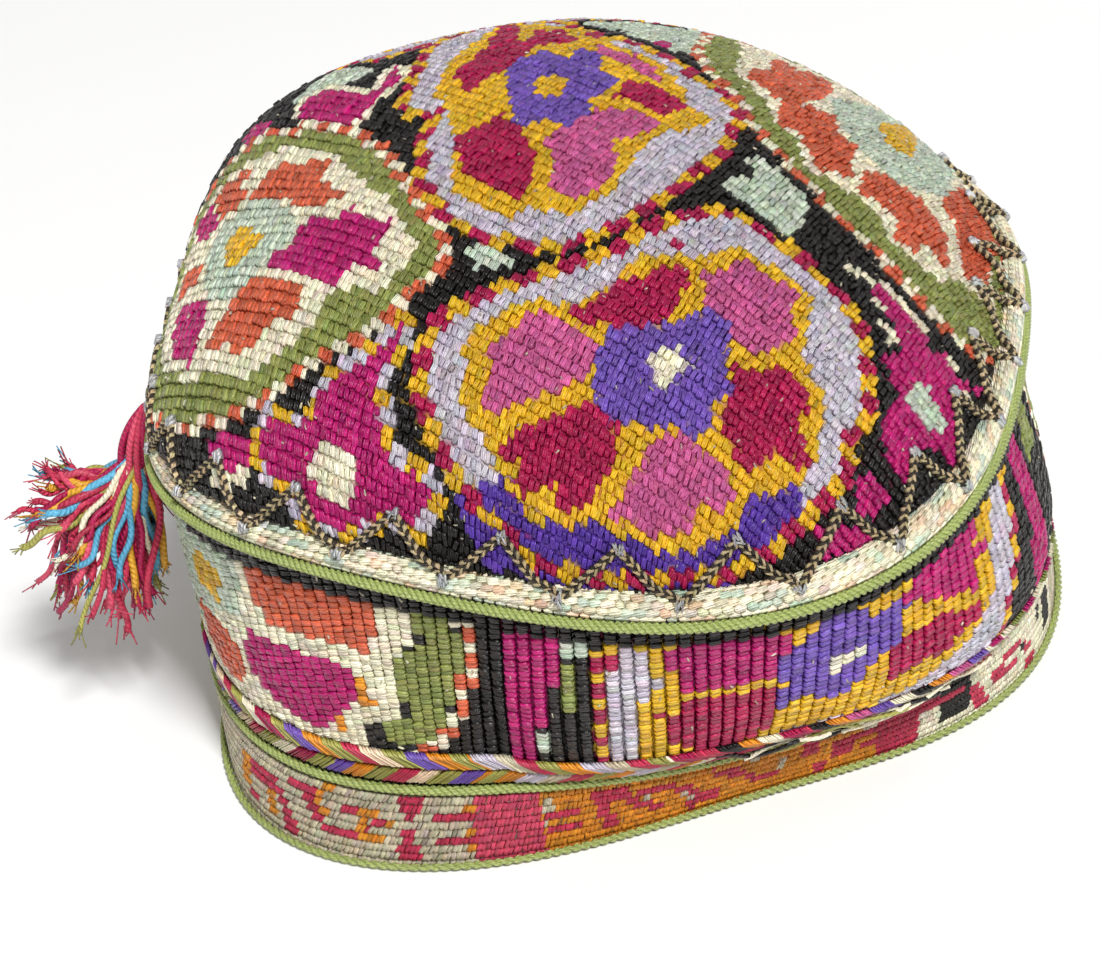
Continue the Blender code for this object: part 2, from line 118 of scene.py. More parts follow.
@dataclass(frozen=True)
class HatForm:
    """The hat's shape: its named sizes in metres, its outline by azimuth, and its surfaces.

    The outline's rows are azimuth in degrees from +X towards +Y, then shares: hem and tape top of
    hem_radius, seam of seam_radius, seam rise of seam_height, ease of the band's width, and the
    exponent of the crown's curve. The dents' rows are azimuth, climb, depth and reach.
    """

    hat_height: float = 0.1180
    hem_radius: float = 0.0870
    seam_radius: float = 0.0905
    seam_height: float = 0.0652
    apex_shift_x: float = -0.0145
    crown_wall: float = 0.0022
    band_wall: float = 0.0024
    tape_width: float = 0.0150
    trim_width: float = 0.0080
    band_width: float = 0.0415
    tape_wall: float = 0.0018
    tape_cord: float = 0.0022
    hem_cord: float = 0.0016
    roll_height: float = 0.0057
    roll_proud: float = 0.0013
    roll_braid: float = 0.0022
    gap: float = 0.0003
    tuck: float = 0.0008
    hem_step: float = 0.0010
    slack_least: float = 0.0005
    roll_shoulder: float = 0.92
    belly_skew: float = 0.50
    columns: tuple[str, ...] = ("azimuth", "hem", "tape_top", "seam", "seam_rise", "ease", "fullness")
    outline: tuple[tuple[float, ...], ...] = (
        (0, 1.03, 1.00, 0.94, 1.00, 0.95, 1.90),
        (30, 1.09, 1.03, 0.98, 0.99, 0.96, 2.05),
        (60, 1.05, 1.02, 1.01, 1.02, 0.99, 2.20),
        (90, 1.04, 1.03, 1.01, 1.02, 0.99, 2.20),
        (120, 1.00, 1.02, 0.99, 1.03, 1.00, 2.15),
        (150, 1.00, 1.04, 0.95, 1.02, 0.99, 1.95),
        (180, 0.96, 1.00, 0.94, 1.02, 0.98, 1.70),
        (210, 1.09, 1.06, 1.04, 1.08, 1.03, 1.80),
        (240, 1.04, 1.00, 1.04, 1.07, 1.04, 2.00),
        (270, 0.86, 0.90, 1.08, 0.96, 1.03, 2.00),
        (300, 0.88, 0.92, 1.08, 0.92, 1.01, 2.00),
        (330, 1.01, 1.01, 0.95, 0.96, 0.97, 1.95),
    )
    dent_rows: tuple[tuple[float, ...], ...] = (
        (352, 0.16, 0.030, 0.16),
        (262, 0.64, 0.010, 0.22),
        (214, 0.45, 0.012, 0.20),
        (322, 0.48, 0.012, 0.22),
        (285, 0.38, -0.010, 0.34),
        (142, 0.52, -0.016, 0.34),
    )

    def around(self, wanted: str, azimuth: np.ndarray) -> np.ndarray:
        """A column of the outline at any azimuth: the periodic series through its twelve rows.

        Args:
            wanted: the column's name.
            azimuth: radians, any shape.

        Returns:
            The column's value at each azimuth.
        """
        place = self.columns.index(wanted)
        values = np.array([row[place] for row in self.outline], float)
        terms = np.fft.rfft(values) / len(values)
        weight = np.full(len(terms), 2.0)
        weight[[0, -1]] = 1.0
        turns = np.exp(1j * np.arange(len(terms)) * np.asarray(azimuth, float)[..., None])
        return (weight * terms * turns).real.sum(-1)

    def hem_line(self, azimuth: np.ndarray) -> np.ndarray:
        """Radius of the tape's lower edge."""
        return self.hem_radius * self.around("hem", azimuth)

    def tape_top_line(self, azimuth: np.ndarray) -> tuple[np.ndarray, np.ndarray]:
        """Radius and height of the tape's upper edge: the tape keeps its width as it leans."""
        radius = self.hem_radius * self.around("tape_top", azimuth)
        lean = radius - self.hem_line(azimuth)
        return radius, np.sqrt(np.maximum(self.tape_width**2 - lean**2, 0))

    def seam_line(self, azimuth: np.ndarray) -> tuple[np.ndarray, np.ndarray]:
        """Radius and height of the seam between band and crown."""
        rise = self.seam_height * self.around("seam_rise", azimuth)
        return self.seam_radius * self.around("seam", azimuth), rise

    def strip_width(self) -> float:
        """Width of the cloth between the tape and the seam: cord, trim and band."""
        return self.tape_cord + 2 * self.gap + self.trim_width + self.band_width

    def band_line(self, azimuth: np.ndarray, share: np.ndarray) -> tuple[np.ndarray, np.ndarray]:
        """Radius and height of the band's outer face above the tape.

        A straight line from the tape to the seam, plus a bow at right angles to it. The bow is that
        of a shallow arc of the strip's width over the straight distance, fullest in its lower half.

        Args:
            azimuth: radians.
            share: way up the strip, from 0 to 1.

        Returns:
            Radius and height, in metres.
        """
        low_radius, low_height = self.tape_top_line(azimuth)
        low_radius = low_radius - self.tape_wall - self.gap
        top_radius, top_height = self.seam_line(azimuth)
        across = top_radius - self.tuck - low_radius
        rise = top_height + self.gap - low_height
        chord = np.hypot(across, rise)
        slack = self.strip_width() * self.around("ease", azimuth) / chord - 1
        slack = np.maximum(slack, self.slack_least)
        lowered = share + self.belly_skew * share * (1 - share)
        bow = chord * np.sqrt(0.375 * slack) * np.sin(np.pi * lowered)
        return low_radius + share * across + bow * rise / chord, (
            low_height + share * rise - bow * across / chord
        )

    def band_outward(self, azimuth: np.ndarray, share: np.ndarray) -> tuple[np.ndarray, np.ndarray]:
        """Outward direction of the band's face in its section, as radius and height."""
        step = 1e-3
        before = self.band_line(azimuth, np.maximum(share - step, 0))
        after = self.band_line(azimuth, share + step)
        run, rise = after[0] - before[0], after[1] - before[1]
        length = np.hypot(run, rise)
        return rise / length, -run / length

    def off_band(
        self, azimuth: np.ndarray, distance: np.ndarray, height: np.ndarray | float
    ) -> tuple[np.ndarray, np.ndarray]:
        """Radius and height of a point a distance up the strip and a height off its face."""
        share = distance / self.strip_width()
        radius, rise = self.band_line(azimuth, share)
        out, up = self.band_outward(azimuth, share)
        return radius + height * out, rise + height * up

    def corner_rise(self, azimuth: np.ndarray, cord: float) -> np.ndarray:
        """How far up the strip a cord lies that rests in the corner of tape and band."""
        out, up = self.band_outward(azimuth, np.zeros_like(azimuth))
        return (cord / 2 + self.gap) * (1 + np.maximum(-up, 0)) / out

    def trim_low(self, azimuth: np.ndarray) -> np.ndarray:
        """How far up the strip the chevron trim starts, above the tape's cord."""
        return self.corner_rise(azimuth, self.tape_cord) + self.tape_cord / 2 + self.gap

    def roll_depth(self) -> float:
        """The roll fills the room from the crown's cloth to the face that stands proud."""
        return self.tuck + self.band_wall + self.roll_proud

    def roll_point(
        self, azimuth: np.ndarray, angle: np.ndarray, room: np.ndarray | float = 0.0
    ) -> tuple[np.ndarray, np.ndarray]:
        """Radius and height on the roll's oval section, angle from straight out, plus room."""
        radius, height = self.seam_line(azimuth)
        half_depth, half_height = self.roll_depth() / 2, self.roll_height / 2
        middle_radius = radius + self.roll_proud - half_depth
        middle_height = height + 2 * self.gap + half_height
        out, up = np.cos(angle) / half_depth, np.sin(angle) / half_height
        length = np.hypot(out, up)
        return (
            middle_radius + half_depth * np.cos(angle) + room * out / length,
            middle_height + half_height * np.sin(angle) + room * up / length,
        )

    def crown_point(self, azimuth: np.ndarray, climb: np.ndarray) -> np.ndarray:
        """Points of the crown's outer face.

        Each azimuth is a quarter of a rounded curve, cos and sin of the climb's angle to the power
        of 2 over the fullness. Behind the roll it is held in by the roll's depth.

        Args:
            azimuth: radians.
            climb: 0 at the seam to 1 at the apex.

        Returns:
            X, Y and Z along the last axis.
        """
        power = 2 / self.around("fullness", azimuth)
        radius, low = self.seam_line(azimuth)
        low = low + self.gap
        spread = np.maximum(np.cos(climb * np.pi / 2), 0) ** power
        lift = np.sin(climb * np.pi / 2) ** power
        height = low + lift * (self.hat_height - low)
        over = (height - low - self.roll_shoulder * self.roll_height) / (0.5 * self.roll_height)
        set_in = self.roll_depth() - self.roll_proud + self.gap
        x = lift * self.apex_shift_x + spread * radius * np.cos(azimuth)
        y = spread * radius * np.sin(azimuth)
        limit = radius + (2 * smooth_step(over) - 1) * set_in
        held = np.minimum(1, limit / np.maximum(np.hypot(x, y), self.gap))
        point = np.stack([x * held, y * held, height], -1)
        return point - self.dents(point)

    def dents(self, point: np.ndarray) -> np.ndarray:
        """How far the crown's dents move a point in: a bell-shaped hollow round each place."""
        middle = np.array([self.apex_shift_x / 2, 0.0, self.seam_height / 2])
        above = point[..., 2] - self.seam_height * 1.05 - self.roll_height
        clear = smooth_step(above / self.roll_height)
        inward = unit(point - middle)
        moved = np.zeros_like(point)
        for azimuth, climb, depth, reach in self.dent_rows:
            at, angle = math.radians(azimuth), climb * math.pi / 2
            rise, spread = math.sin(angle), math.cos(angle) * self.seam_radius
            place = np.array(
                [
                    rise * self.apex_shift_x + spread * math.cos(at),
                    spread * math.sin(at),
                    self.seam_height + rise * (self.hat_height - self.seam_height),
                ]
            )
            near = np.exp(-(((point - place) / (reach * self.seam_radius)) ** 2).sum(-1))
            moved += (depth * self.hat_height * near * clear)[..., None] * inward
        return moved


def turned(azimuth: np.ndarray, radius: np.ndarray, height: np.ndarray) -> np.ndarray:
    """Points from azimuth in radians, radius and height."""
    return np.stack([radius * np.cos(azimuth), radius * np.sin(azimuth), height], -1)


class Surface(Protocol):
    """A curved face with a flat chart: a and b on the chart, with the normal along a cross b."""

    def at(self, a: np.ndarray, b: np.ndarray, lift: np.ndarray) -> np.ndarray:
        """Points at places on the chart, lifted off the face by metres."""


@dataclass
class CrownFace:
    """The crown laid out flat, in millimetres from its apex.

    The distance from the chart's middle is the length of the cloth down a meridian, and the
    direction is the meridian's azimuth: a towards +X and b towards +Y.
    """

    form: HatForm
    meridians: int = 360
    rows: int = 160
    fine: int = 5

    def __post_init__(self) -> None:
        """Tabulates points and normals by azimuth and by share of each meridian's length."""
        azimuth = np.linspace(0, 2 * np.pi, self.meridians + 1)[:, None]
        climb = np.linspace(1, 0, self.fine * self.rows + 1)[None]
        line = self.form.crown_point(azimuth + 0 * climb, climb + 0 * azimuth)
        steps = np.linalg.norm(np.diff(line, axis=1), axis=2)
        length = np.concatenate([np.zeros_like(azimuth), np.cumsum(steps, 1)], 1)
        self.length = length[:, -1]
        apart = np.arange(self.meridians + 1)[:, None] * 1.0
        wanted = np.linspace(0, 1, self.rows + 1) * self.length[:, None] + apart
        known = (length + apart).ravel()
        self.points = np.stack(
            [np.interp(wanted, known, line[..., axis].ravel()) for axis in range(3)], -1
        )
        self.normals = np.zeros_like(self.points)
        self.normals[..., 2] = 1.0
        reach = (wanted - apart) / MM
        a, b = reach * np.cos(azimuth), reach * np.sin(azimuth)
        step = 0.5
        across = self.at(a + step, b, 0.0) - self.at(a - step, b, 0.0)
        along = self.at(a, b + step, 0.0) - self.at(a, b - step, 0.0)
        self.normals = unit(np.cross(across, along))

    def at(self, a: np.ndarray, b: np.ndarray, lift: np.ndarray | float) -> np.ndarray:
        """Points on the crown, between the tabulated ones along both directions."""
        turn = np.degrees(np.arctan2(b, a)) % 360 * self.meridians / 360
        column = np.minimum(turn.astype(int), self.meridians - 1)
        share_turn = (turn - column)[..., None]
        length = self.length[column] * (1 - share_turn[..., 0])
        length = length + self.length[column + 1] * share_turn[..., 0]
        down = np.clip(np.hypot(a, b) * MM / length, 0, 1) * self.rows
        row = np.minimum(down.astype(int), self.rows - 1)
        share_down = (down - row)[..., None]
        found = []
        for table in (self.points, self.normals):
            low = table[column, row] * (1 - share_turn) + table[column + 1, row] * share_turn
            high = table[column, row + 1] * (1 - share_turn)
            high = high + table[column + 1, row + 1] * share_turn
            found.append(low * (1 - share_down) + high * share_down)
        return found[0] + unit(found[1]) * np.asarray(lift)[..., None]


@dataclass(frozen=True)
class BandFace:
    """The strip above the tape: azimuth in degrees, and millimetres up the cloth."""

    form: HatForm

    def at(self, a: np.ndarray, b: np.ndarray, lift: np.ndarray | float) -> np.ndarray:
        """Points on the band."""
        azimuth = np.radians(a)
        return turned(azimuth, *self.form.off_band(azimuth, b * MM, lift))


@dataclass(frozen=True)
class TrimFace:
    """The chevron trim's ground on the band: azimuth, and millimetres up from its lower edge."""

    form: HatForm

    def at(self, a: np.ndarray, b: np.ndarray, lift: np.ndarray | float) -> np.ndarray:
        """Points on the trim's ground."""
        azimuth = np.radians(a)
        up = self.form.trim_low(azimuth) + b * MM
        return turned(azimuth, *self.form.off_band(azimuth, up, lift))


@dataclass(frozen=True)
class RollFace:
    """The edge roll: azimuth, and the angle round its section, 0 straight out and 90 up."""

    form: HatForm

    def at(self, a: np.ndarray, b: np.ndarray, lift: np.ndarray | float) -> np.ndarray:
        """Points on the roll."""
        azimuth = np.radians(a)
        return turned(azimuth, *self.form.roll_point(azimuth, np.radians(b), lift))


@dataclass(frozen=True)
class TapeFace:
    """The woven tape: azimuth, and millimetres up from the hem. It swells a little at mid height."""

    form: HatForm

    def at(self, a: np.ndarray, b: np.ndarray, lift: np.ndarray | float) -> np.ndarray:
        """Points on the tape: a straight line from hem to top plus a parabola, and the lift."""
        azimuth = np.radians(a)
        hem = self.form.hem_line(azimuth)
        top, height = self.form.tape_top_line(azimuth)
        share = b * MM / self.form.tape_width
        swell = self.form.tape_wall * 4 / 6 * share * (1 - share)
        length = np.hypot(height, top - hem)
        radius = hem + share * (top - hem) + swell + lift * height / length
        return turned(azimuth, radius, share * height - lift * (top - hem) / length)


@dataclass
class PathFace:
    """A ribbon along a line in space: millimetres along it, and to its left seen from outside."""

    points: np.ndarray
    normals: np.ndarray

    def __post_init__(self) -> None:
        """Works out the length along the line and the direction across it."""
        steps = np.linalg.norm(np.diff(self.points, axis=0), axis=1)
        self.length = np.concatenate([[0], np.cumsum(steps)]) / MM
        run = unit(np.gradient(self.points, axis=0))
        self.across = unit(np.cross(self.normals, run))

    def at(self, a: np.ndarray, b: np.ndarray, lift: np.ndarray | float) -> np.ndarray:
        """Points on the ribbon, between the line's own points."""
        tables = (self.points, self.across, self.normals)
        place, across, normal = (
            np.stack([np.interp(a, self.length, table[:, axis]) for axis in range(3)], -1)
            for table in tables
        )
        return place + across * (b * MM)[..., None] + normal * np.asarray(lift)[..., None]


class Grain:
    """One plump stitch: two tips and two rings of four corners, closed, in shares of its sizes.

    Rows of shape are along, across and up. Each face corner has a place in the stitch's own cell of
    the bake map: along it from left to right, and round it from bottom to top.
    """

    ring = ((-0.95, 0.10), (-0.50, 0.85), (0.50, 0.85), (0.95, 0.10))
    shoulder = 0.60

    def __init__(self) -> None:
        """Works out the corners, the faces and their places in the cell."""
        rings = [(side * self.shoulder, y, z) for side in (-1, 1) for y, z in self.ring]
        self.shape = np.array([(-1.0, 0.0, 0.15), *rings, (1.0, 0.0, 0.15)])
        near, far = 0.5 - self.shoulder / 2, 0.5 + self.shoulder / 2
        self.faces: list[tuple[int, ...]] = []
        self.cells: list[tuple[tuple[float, float], ...]] = []
        for side in range(4):
            here, after = 1 + side, 1 + (side + 1) % 4
            low, high = side / 4, (side + 1) / 4
            self.faces += [(here, here + 4, after + 4, after), (0, here, after), (9, after + 4, here + 4)]
            self.cells += [
                ((near, low), (far, low), (far, high), (near, high)),
                ((0.0, (low + high) / 2), (near, low), (near, high)),
                ((1.0, (low + high) / 2), (far, high), (far, low)),
            ]


GRAIN = Grain()


@dataclass
class Pile:
    """Many small closed shapes gathered as arrays and made into one mesh.

    Each shape has its own cell in the bake map. The map Thread runs along and across each thread,
    and the colour attribute Silk holds its colour.
    """

    points: list[np.ndarray] = field(default_factory=list)
    corners: list[np.ndarray] = field(default_factory=list)
    sizes: list[np.ndarray] = field(default_factory=list)
    cells: list[np.ndarray] = field(default_factory=list)
    cell_places: list[np.ndarray] = field(default_factory=list)
    threads: list[np.ndarray] = field(default_factory=list)
    colours: list[np.ndarray] = field(default_factory=list)
    count: int = 0
    used: int = 0

    def grains(
        self,
        face: Surface,
        centre: tuple[np.ndarray, np.ndarray],
        long: tuple[np.ndarray, np.ndarray],
        wide: tuple[np.ndarray, np.ndarray],
        height: np.ndarray | float,
        base: np.ndarray | float,
        colour: np.ndarray,
    ) -> None:
        """Lays stitches on a surface. Every corner is placed on the chart and lifted off the face.

        Args:
            face: the surface.
            centre: the stitches' places on its chart.
            long: from each centre to the stitch's tip, on the chart.
            wide: from each centre to the stitch's edge, on the chart, to the left of long.
            height: how thick each stitch is, in metres.
            base: how far off the face each stitch starts, in metres.
            colour: linear colour of each stitch.
        """
        along, across, up = GRAIN.shape.T
        number = len(centre[0])
        spread = np.zeros((number, 1))
        a = centre[0][:, None] + (long[0] + spread.T).T * along + (wide[0] + spread.T).T * across
        b = centre[1][:, None] + (long[1] + spread.T).T * along + (wide[1] + spread.T).T * across
        lift = (base + spread.T).T + (height + spread.T).T * up
        points = face.at(a, b, lift)
        thread = GRAIN.shape[:, :2] * 0.5 + 0.5
        for size in (4, 3):
            faces = np.array([f for f in GRAIN.faces if len(f) == size])
            cells = np.array([c for c in GRAIN.cells if len(c) == size])
            corner = faces[None] + (np.arange(number) * len(along))[:, None, None] + self.count
            self.corners.append(corner.reshape(-1))
            self.sizes.append(np.full(number * len(faces), size))
            self.cells.append(np.tile(cells.reshape(-1, 2), (number, 1)))
            places = np.repeat(np.arange(number) + self.used, faces.size)
            self.cell_places.append(places)
            self.threads.append(np.tile(thread[faces.reshape(-1)], (number, 1)))
        self.points.append(points.reshape(-1, 3))
        self.colours.append(np.repeat(colour, len(along), axis=0))
        self.count += number * len(along)
        self.used += number

    def tube(self, rings: np.ndarray, colour: np.ndarray, closed: bool, chunk: int = 24) -> None:
        """Adds a tube from rings of points, turned to the left round the way that it runs.

        Args:
            rings: rings along the tube, points round each, and X, Y and Z.
            colour: linear colour, one or one for each ring.
            closed: whether it joins its own start. If not, it gets caps.
            chunk: how many rings share one cell of the bake map.
        """
        steps, sides = rings.shape[:2]
        spans = steps if closed else steps - 1
        i, j = np.meshgrid(np.arange(spans), np.arange(sides), indexing="ij")
        after, beyond = (i + 1) % steps, (j + 1) % sides
        quad = np.stack([i * sides + j, i * sides + beyond, after * sides + beyond, after * sides + j], -1)
        low, high = (i % chunk) / chunk, (i % chunk + 1) / chunk
        left, right = j / sides, (j + 1) / sides
        cells = np.stack([low, left, low, right, high, right, high, left], -1).reshape(-1, 2)
        middle = rings.mean(1)
        runs = np.linalg.norm(np.roll(middle, -1, 0) - middle, axis=1)[:spans]
        length = np.concatenate([[0], np.cumsum(runs)]) / MM
        start, end = length[i], length[i + 1]
        threads = np.stack([start, left, start, right, end, right, end, left], -1).reshape(-1, 2)
        self.corners.append(quad.reshape(-1) + self.count)
        self.sizes.append(np.full(quad.shape[0] * quad.shape[1], 4))
        self.cells.append(cells)
        self.cell_places.append(np.repeat((i // chunk).reshape(-1) + self.used, 4))
        self.threads.append(threads)
        self.used += (spans - 1) // chunk + 1
        if not closed:
            circle = np.arange(sides) * 2 * np.pi / sides
            round_cell = np.stack([0.5 + 0.5 * np.cos(circle), 0.5 + 0.5 * np.sin(circle)], -1)
            for cap in (np.arange(sides)[::-1], (steps - 1) * sides + np.arange(sides)):
                self.corners.append(cap + self.count)
                self.sizes.append(np.array([sides]))
                self.cells.append(round_cell)
                self.cell_places.append(np.full(sides, self.used))
                self.threads.append(round_cell)
                self.used += 1
        self.points.append(rings.reshape(-1, 3))
        shade = np.broadcast_to(np.atleast_2d(colour), (steps, 3))
        self.colours.append(np.repeat(shade, sides, axis=0))
        self.count += steps * sides

    def make(self, name: str) -> bpy.types.Object:
        """Puts all that was gathered into one mesh object at the origin."""
        across = math.ceil(math.sqrt(self.used))
        margin = 0.06
        inside = margin + np.concatenate(self.cells) * (1 - 2 * margin)
        places = np.concatenate(self.cell_places)
        bake = (np.stack([places % across, places // across], -1) + inside) / across
        return mesh_object(
            name,
            np.concatenate(self.points),
            np.concatenate(self.corners),
            np.concatenate(self.sizes),
            {"OFBake": bake, "Thread": np.concatenate(self.threads)},
            np.concatenate(self.colours),
        )


def mesh_object(
    name: str,
    points: np.ndarray,
    corners: np.ndarray,
    sizes: np.ndarray,
    maps: dict[str, np.ndarray],
    colours: np.ndarray,
) -> bpy.types.Object:
    """Makes a smooth mesh object from whole arrays.

    Args:
        name: the piece's name.
        points: X, Y and Z of each point.
        corners: point numbers, face after face.
        sizes: the number of corners of each face.
        maps: for each UV map's name, a place for each corner.
        colours: linear colour of each point.

    Returns:
        The object, linked to the scene.
    """
    mesh = bpy.data.meshes.new(name)
    mesh.vertices.add(len(points))
    mesh.vertices.foreach_set("co", points.astype(np.float32).ravel())
    mesh.loops.add(len(corners))
    mesh.loops.foreach_set("vertex_index", corners.astype(np.int32))
    mesh.polygons.add(len(sizes))
    starts = np.concatenate([[0], np.cumsum(sizes)[:-1]])
    mesh.polygons.foreach_set("loop_start", starts.astype(np.int32))
    mesh.update(calc_edges=True)
    mesh.polygons.foreach_set("use_smooth", np.ones(len(sizes), bool))
    for map_name, places in maps.items():
        layer = mesh.uv_layers.new(name=map_name)
        layer.uv.foreach_set("vector", places.astype(np.float32).ravel())
    layer = mesh.color_attributes.new("Silk", "FLOAT_COLOR", "POINT")
    filled = np.concatenate([colours, np.ones((len(colours), 1))], 1)
    layer.data.foreach_set("color", filled.astype(np.float32).ravel())
    made = bpy.data.objects.new(name, mesh)
    bpy.context.scene.collection.objects.link(made)
    return made


def closed_band(name: str, section: np.ndarray, colours: np.ndarray) -> bpy.types.Object:
    """A closed section carried round the hat.

    Args:
        name: the piece's name.
        section: points by azimuth and then round the section, going out, up and back inside.
        colours: linear colour of each of those points.

    Returns:
        The object.
    """
    steps, sides = section.shape[:2]
    i, j = np.meshgrid(np.arange(steps), np.arange(sides), indexing="ij")
    after, beyond = (i + 1) % steps, (j + 1) % sides
    quad = np.stack([i * sides + j, after * sides + j, after * sides + beyond, i * sides + beyond], -1)
    left, right, low, high = i / steps, (i + 1) / steps, j / sides, (j + 1) / sides
    flat = np.stack([left, low, right, low, right, high, left, high], -1).reshape(-1, 2)
    maps = {"OFBake": flat * 0.98 + 0.01, "Thread": flat}
    sizes = np.full(steps * sides, 4)
    points = section.reshape(-1, 3)
    return mesh_object(name, points, quad.reshape(-1), sizes, maps, colours.reshape(-1, 3))


class Wire:
    """A number socket. Arithmetic on it adds Math nodes."""

    def __init__(self, nodes: NodeKit, socket: bpy.types.NodeSocket) -> None:
        self.nodes = nodes
        self.socket = socket

    def math(self, operation: str, *others: Wire | float) -> Wire:
        """One Math node on this number and others."""
        values = {place: value for place, value in enumerate((self, *others))}
        return self.nodes.add("ShaderNodeMath", {"operation": operation}, values)[0]

    def __add__(self, other: Wire | float) -> Wire:
        """Adds."""
        return self.math("ADD", other)

    def __sub__(self, other: Wire | float) -> Wire:
        """Takes away."""
        return self.math("SUBTRACT", other)

    def __mul__(self, other: Wire | float) -> Wire:
        """Multiplies."""
        return self.math("MULTIPLY", other)

    def __rsub__(self, other: float) -> Wire:
        """A number less this one."""
        return (self * -1.0) + other

    __radd__ = __add__
    __rmul__ = __mul__


class NodeKit:
    """Adds nodes to one material."""

    def __init__(self, name: str) -> None:
        """Starts a material with its shader."""
        self.material = bpy.data.materials.new(name)
        self.material.use_nodes = True
        self.tree = self.material.node_tree
        self.shader = self.tree.nodes["Principled BSDF"]

    def add(
        self,
        kind: str,
        settings: dict[str, object] | None = None,
        inputs: dict[int | str, object] | None = None,
    ) -> list[Wire]:
        """Adds one node.

        Args:
            kind: the node's type.
            settings: its properties, set first.
            inputs: for each input's name or place, a value or a wire.

        Returns:
            A wire for each of its outputs.
        """
        node = self.tree.nodes.new(kind)
        for key, value in (settings or {}).items():
            setattr(node, key, value)
        for key, value in (inputs or {}).items():
            self.feed(node.inputs[key], value)
        return [Wire(self, socket) for socket in node.outputs]

    def feed(self, socket: bpy.types.NodeSocket, value: object) -> None:
        """Sets a socket's value, or links a wire to it."""
        if isinstance(value, Wire):
            self.tree.links.new(value.socket, socket)
        else:
            socket.default_value = value

    def into(self, **values: object) -> None:
        """Sets or links the shader's own sockets, named with _ for a space."""
        for key, value in values.items():
            self.feed(self.shader.inputs[key.replace("_", " ")], value)

    def tinted(self, colour: Wire, amount: Wire) -> Wire:
        """A colour made lighter or darker by a number round 1."""
        grey = self.add("ShaderNodeCombineColor", None, {0: amount, 1: amount, 2: amount})[0]
        settings = {"data_type": "RGBA", "blend_type": "MULTIPLY"}
        return self.add("ShaderNodeMix", settings, {0: 1.0, 6: colour, 7: grey})[2]


@dataclass(frozen=True)
class ThreadFinish:
    """Spun thread with strands along it, in the colour of each stitch.

    Sizes along and across are counted in the map Thread. A sine over the map gives the strands, and
    noise drawn out along the thread gives its fibres. Two more sizes of noise give the thread's
    uneven dye and the hat's wear.
    """

    name: str
    roughness: float = 0.34
    strands: float = 4.0
    twist: float = 0.7
    depth: float = 0.00022
    strength: float = 1.0
    mottle: float = 0.5
    streak: float = 0.20
    coat: float = 0.16

    def material(self) -> bpy.types.Material:
        """Builds the material."""
        kit = NodeKit(self.name)
        colour = kit.add("ShaderNodeAttribute", {"attribute_name": "Silk"})[0]
        place = kit.add("ShaderNodeUVMap", {"uv_map": "Thread"})[0]
        along, across, _ = kit.add("ShaderNodeSeparateXYZ", None, {0: place})
        spot = kit.add("ShaderNodeTexCoord")[3]
        fine = kit.add("ShaderNodeTexNoise", None, {"Vector": spot, "Scale": 2600.0, "Detail": 2.0})[0]
        broad = kit.add("ShaderNodeTexNoise", None, {"Vector": spot, "Scale": 90.0, "Detail": 3.0})[0]
        wave = ((across * self.strands + along * self.twist) * math.tau).math("SINE")
        x, y, z = kit.add("ShaderNodeSeparateXYZ", None, {0: spot})
        drawn_out = {0: along * 1.3, 1: across * (1.6 * self.strands), 2: (x + y * 1.7 + z) * 700.0}
        line = kit.add("ShaderNodeCombineXYZ", None, drawn_out)[0]
        fibre = kit.add("ShaderNodeTexNoise", None, {"Vector": line, "Scale": 1.0, "Detail": 2.0})[0]
        shade = 1 + (fine - 0.5) * self.mottle + (broad - 0.5) * (0.6 * self.mottle)
        shade = shade + wave * (0.4 * self.streak) + (fibre - 0.5) * (4 * self.streak)
        height = wave * 0.4 + fibre * 1.1 + fine * 0.5
        normal = kit.add(
            "ShaderNodeBump",
            None,
            {"Strength": self.strength, "Distance": self.depth, "Height": height},
        )[0]
        kit.into(
            Base_Color=kit.tinted(colour, shade),
            Roughness=(fine - 0.5) * 0.3 + self.roughness,
            Specular_IOR_Level=0.34,
            Normal=normal,
        )
        if self.coat:
            kit.into(Coat_Weight=self.coat, Coat_Roughness=0.24)
        return kit.material


@dataclass(frozen=True)
class ClothFinish:
    """Plain woven cloth behind the stitches: two crossed waves for the weave, and noise for wear."""

    name: str
    pitch: float = 0.0006
    roughness: float = 0.85

    def material(self) -> bpy.types.Material:
        """Builds the material."""
        kit = NodeKit(self.name)
        colour = kit.add("ShaderNodeAttribute", {"attribute_name": "Silk"})[0]
        spot = kit.add("ShaderNodeTexCoord")[3]
        x, y, z = kit.add("ShaderNodeSeparateXYZ", None, {0: spot})
        turns = math.tau / self.pitch
        weave = ((x + z) * turns).math("SINE") * ((y - z) * turns).math("SINE")
        noise = kit.add("ShaderNodeTexNoise", None, {"Vector": spot, "Scale": 220.0, "Detail": 4.0})[0]
        shade = 1 + weave * 0.15 + (noise - 0.5) * 0.5
        normal = kit.add("ShaderNodeBump", None, {"Strength": 0.5, "Distance": 0.0001, "Height": weave})[0]
        kit.into(Base_Color=kit.tinted(colour, shade), Roughness=self.roughness, Normal=normal)
        return kit.material


@dataclass(frozen=True)
class Area:
    """One area of a chart in one thread, by its corners."""

    thread: Silk
    corners: Sequence[tuple[float, float]]

    def paint(self, a: np.ndarray, b: np.ndarray, numbers: np.ndarray) -> None:
        """Gives the area's thread to the places inside it."""
        numbers[inside(self.corners, a, b)] = THREADS.index(self.thread)


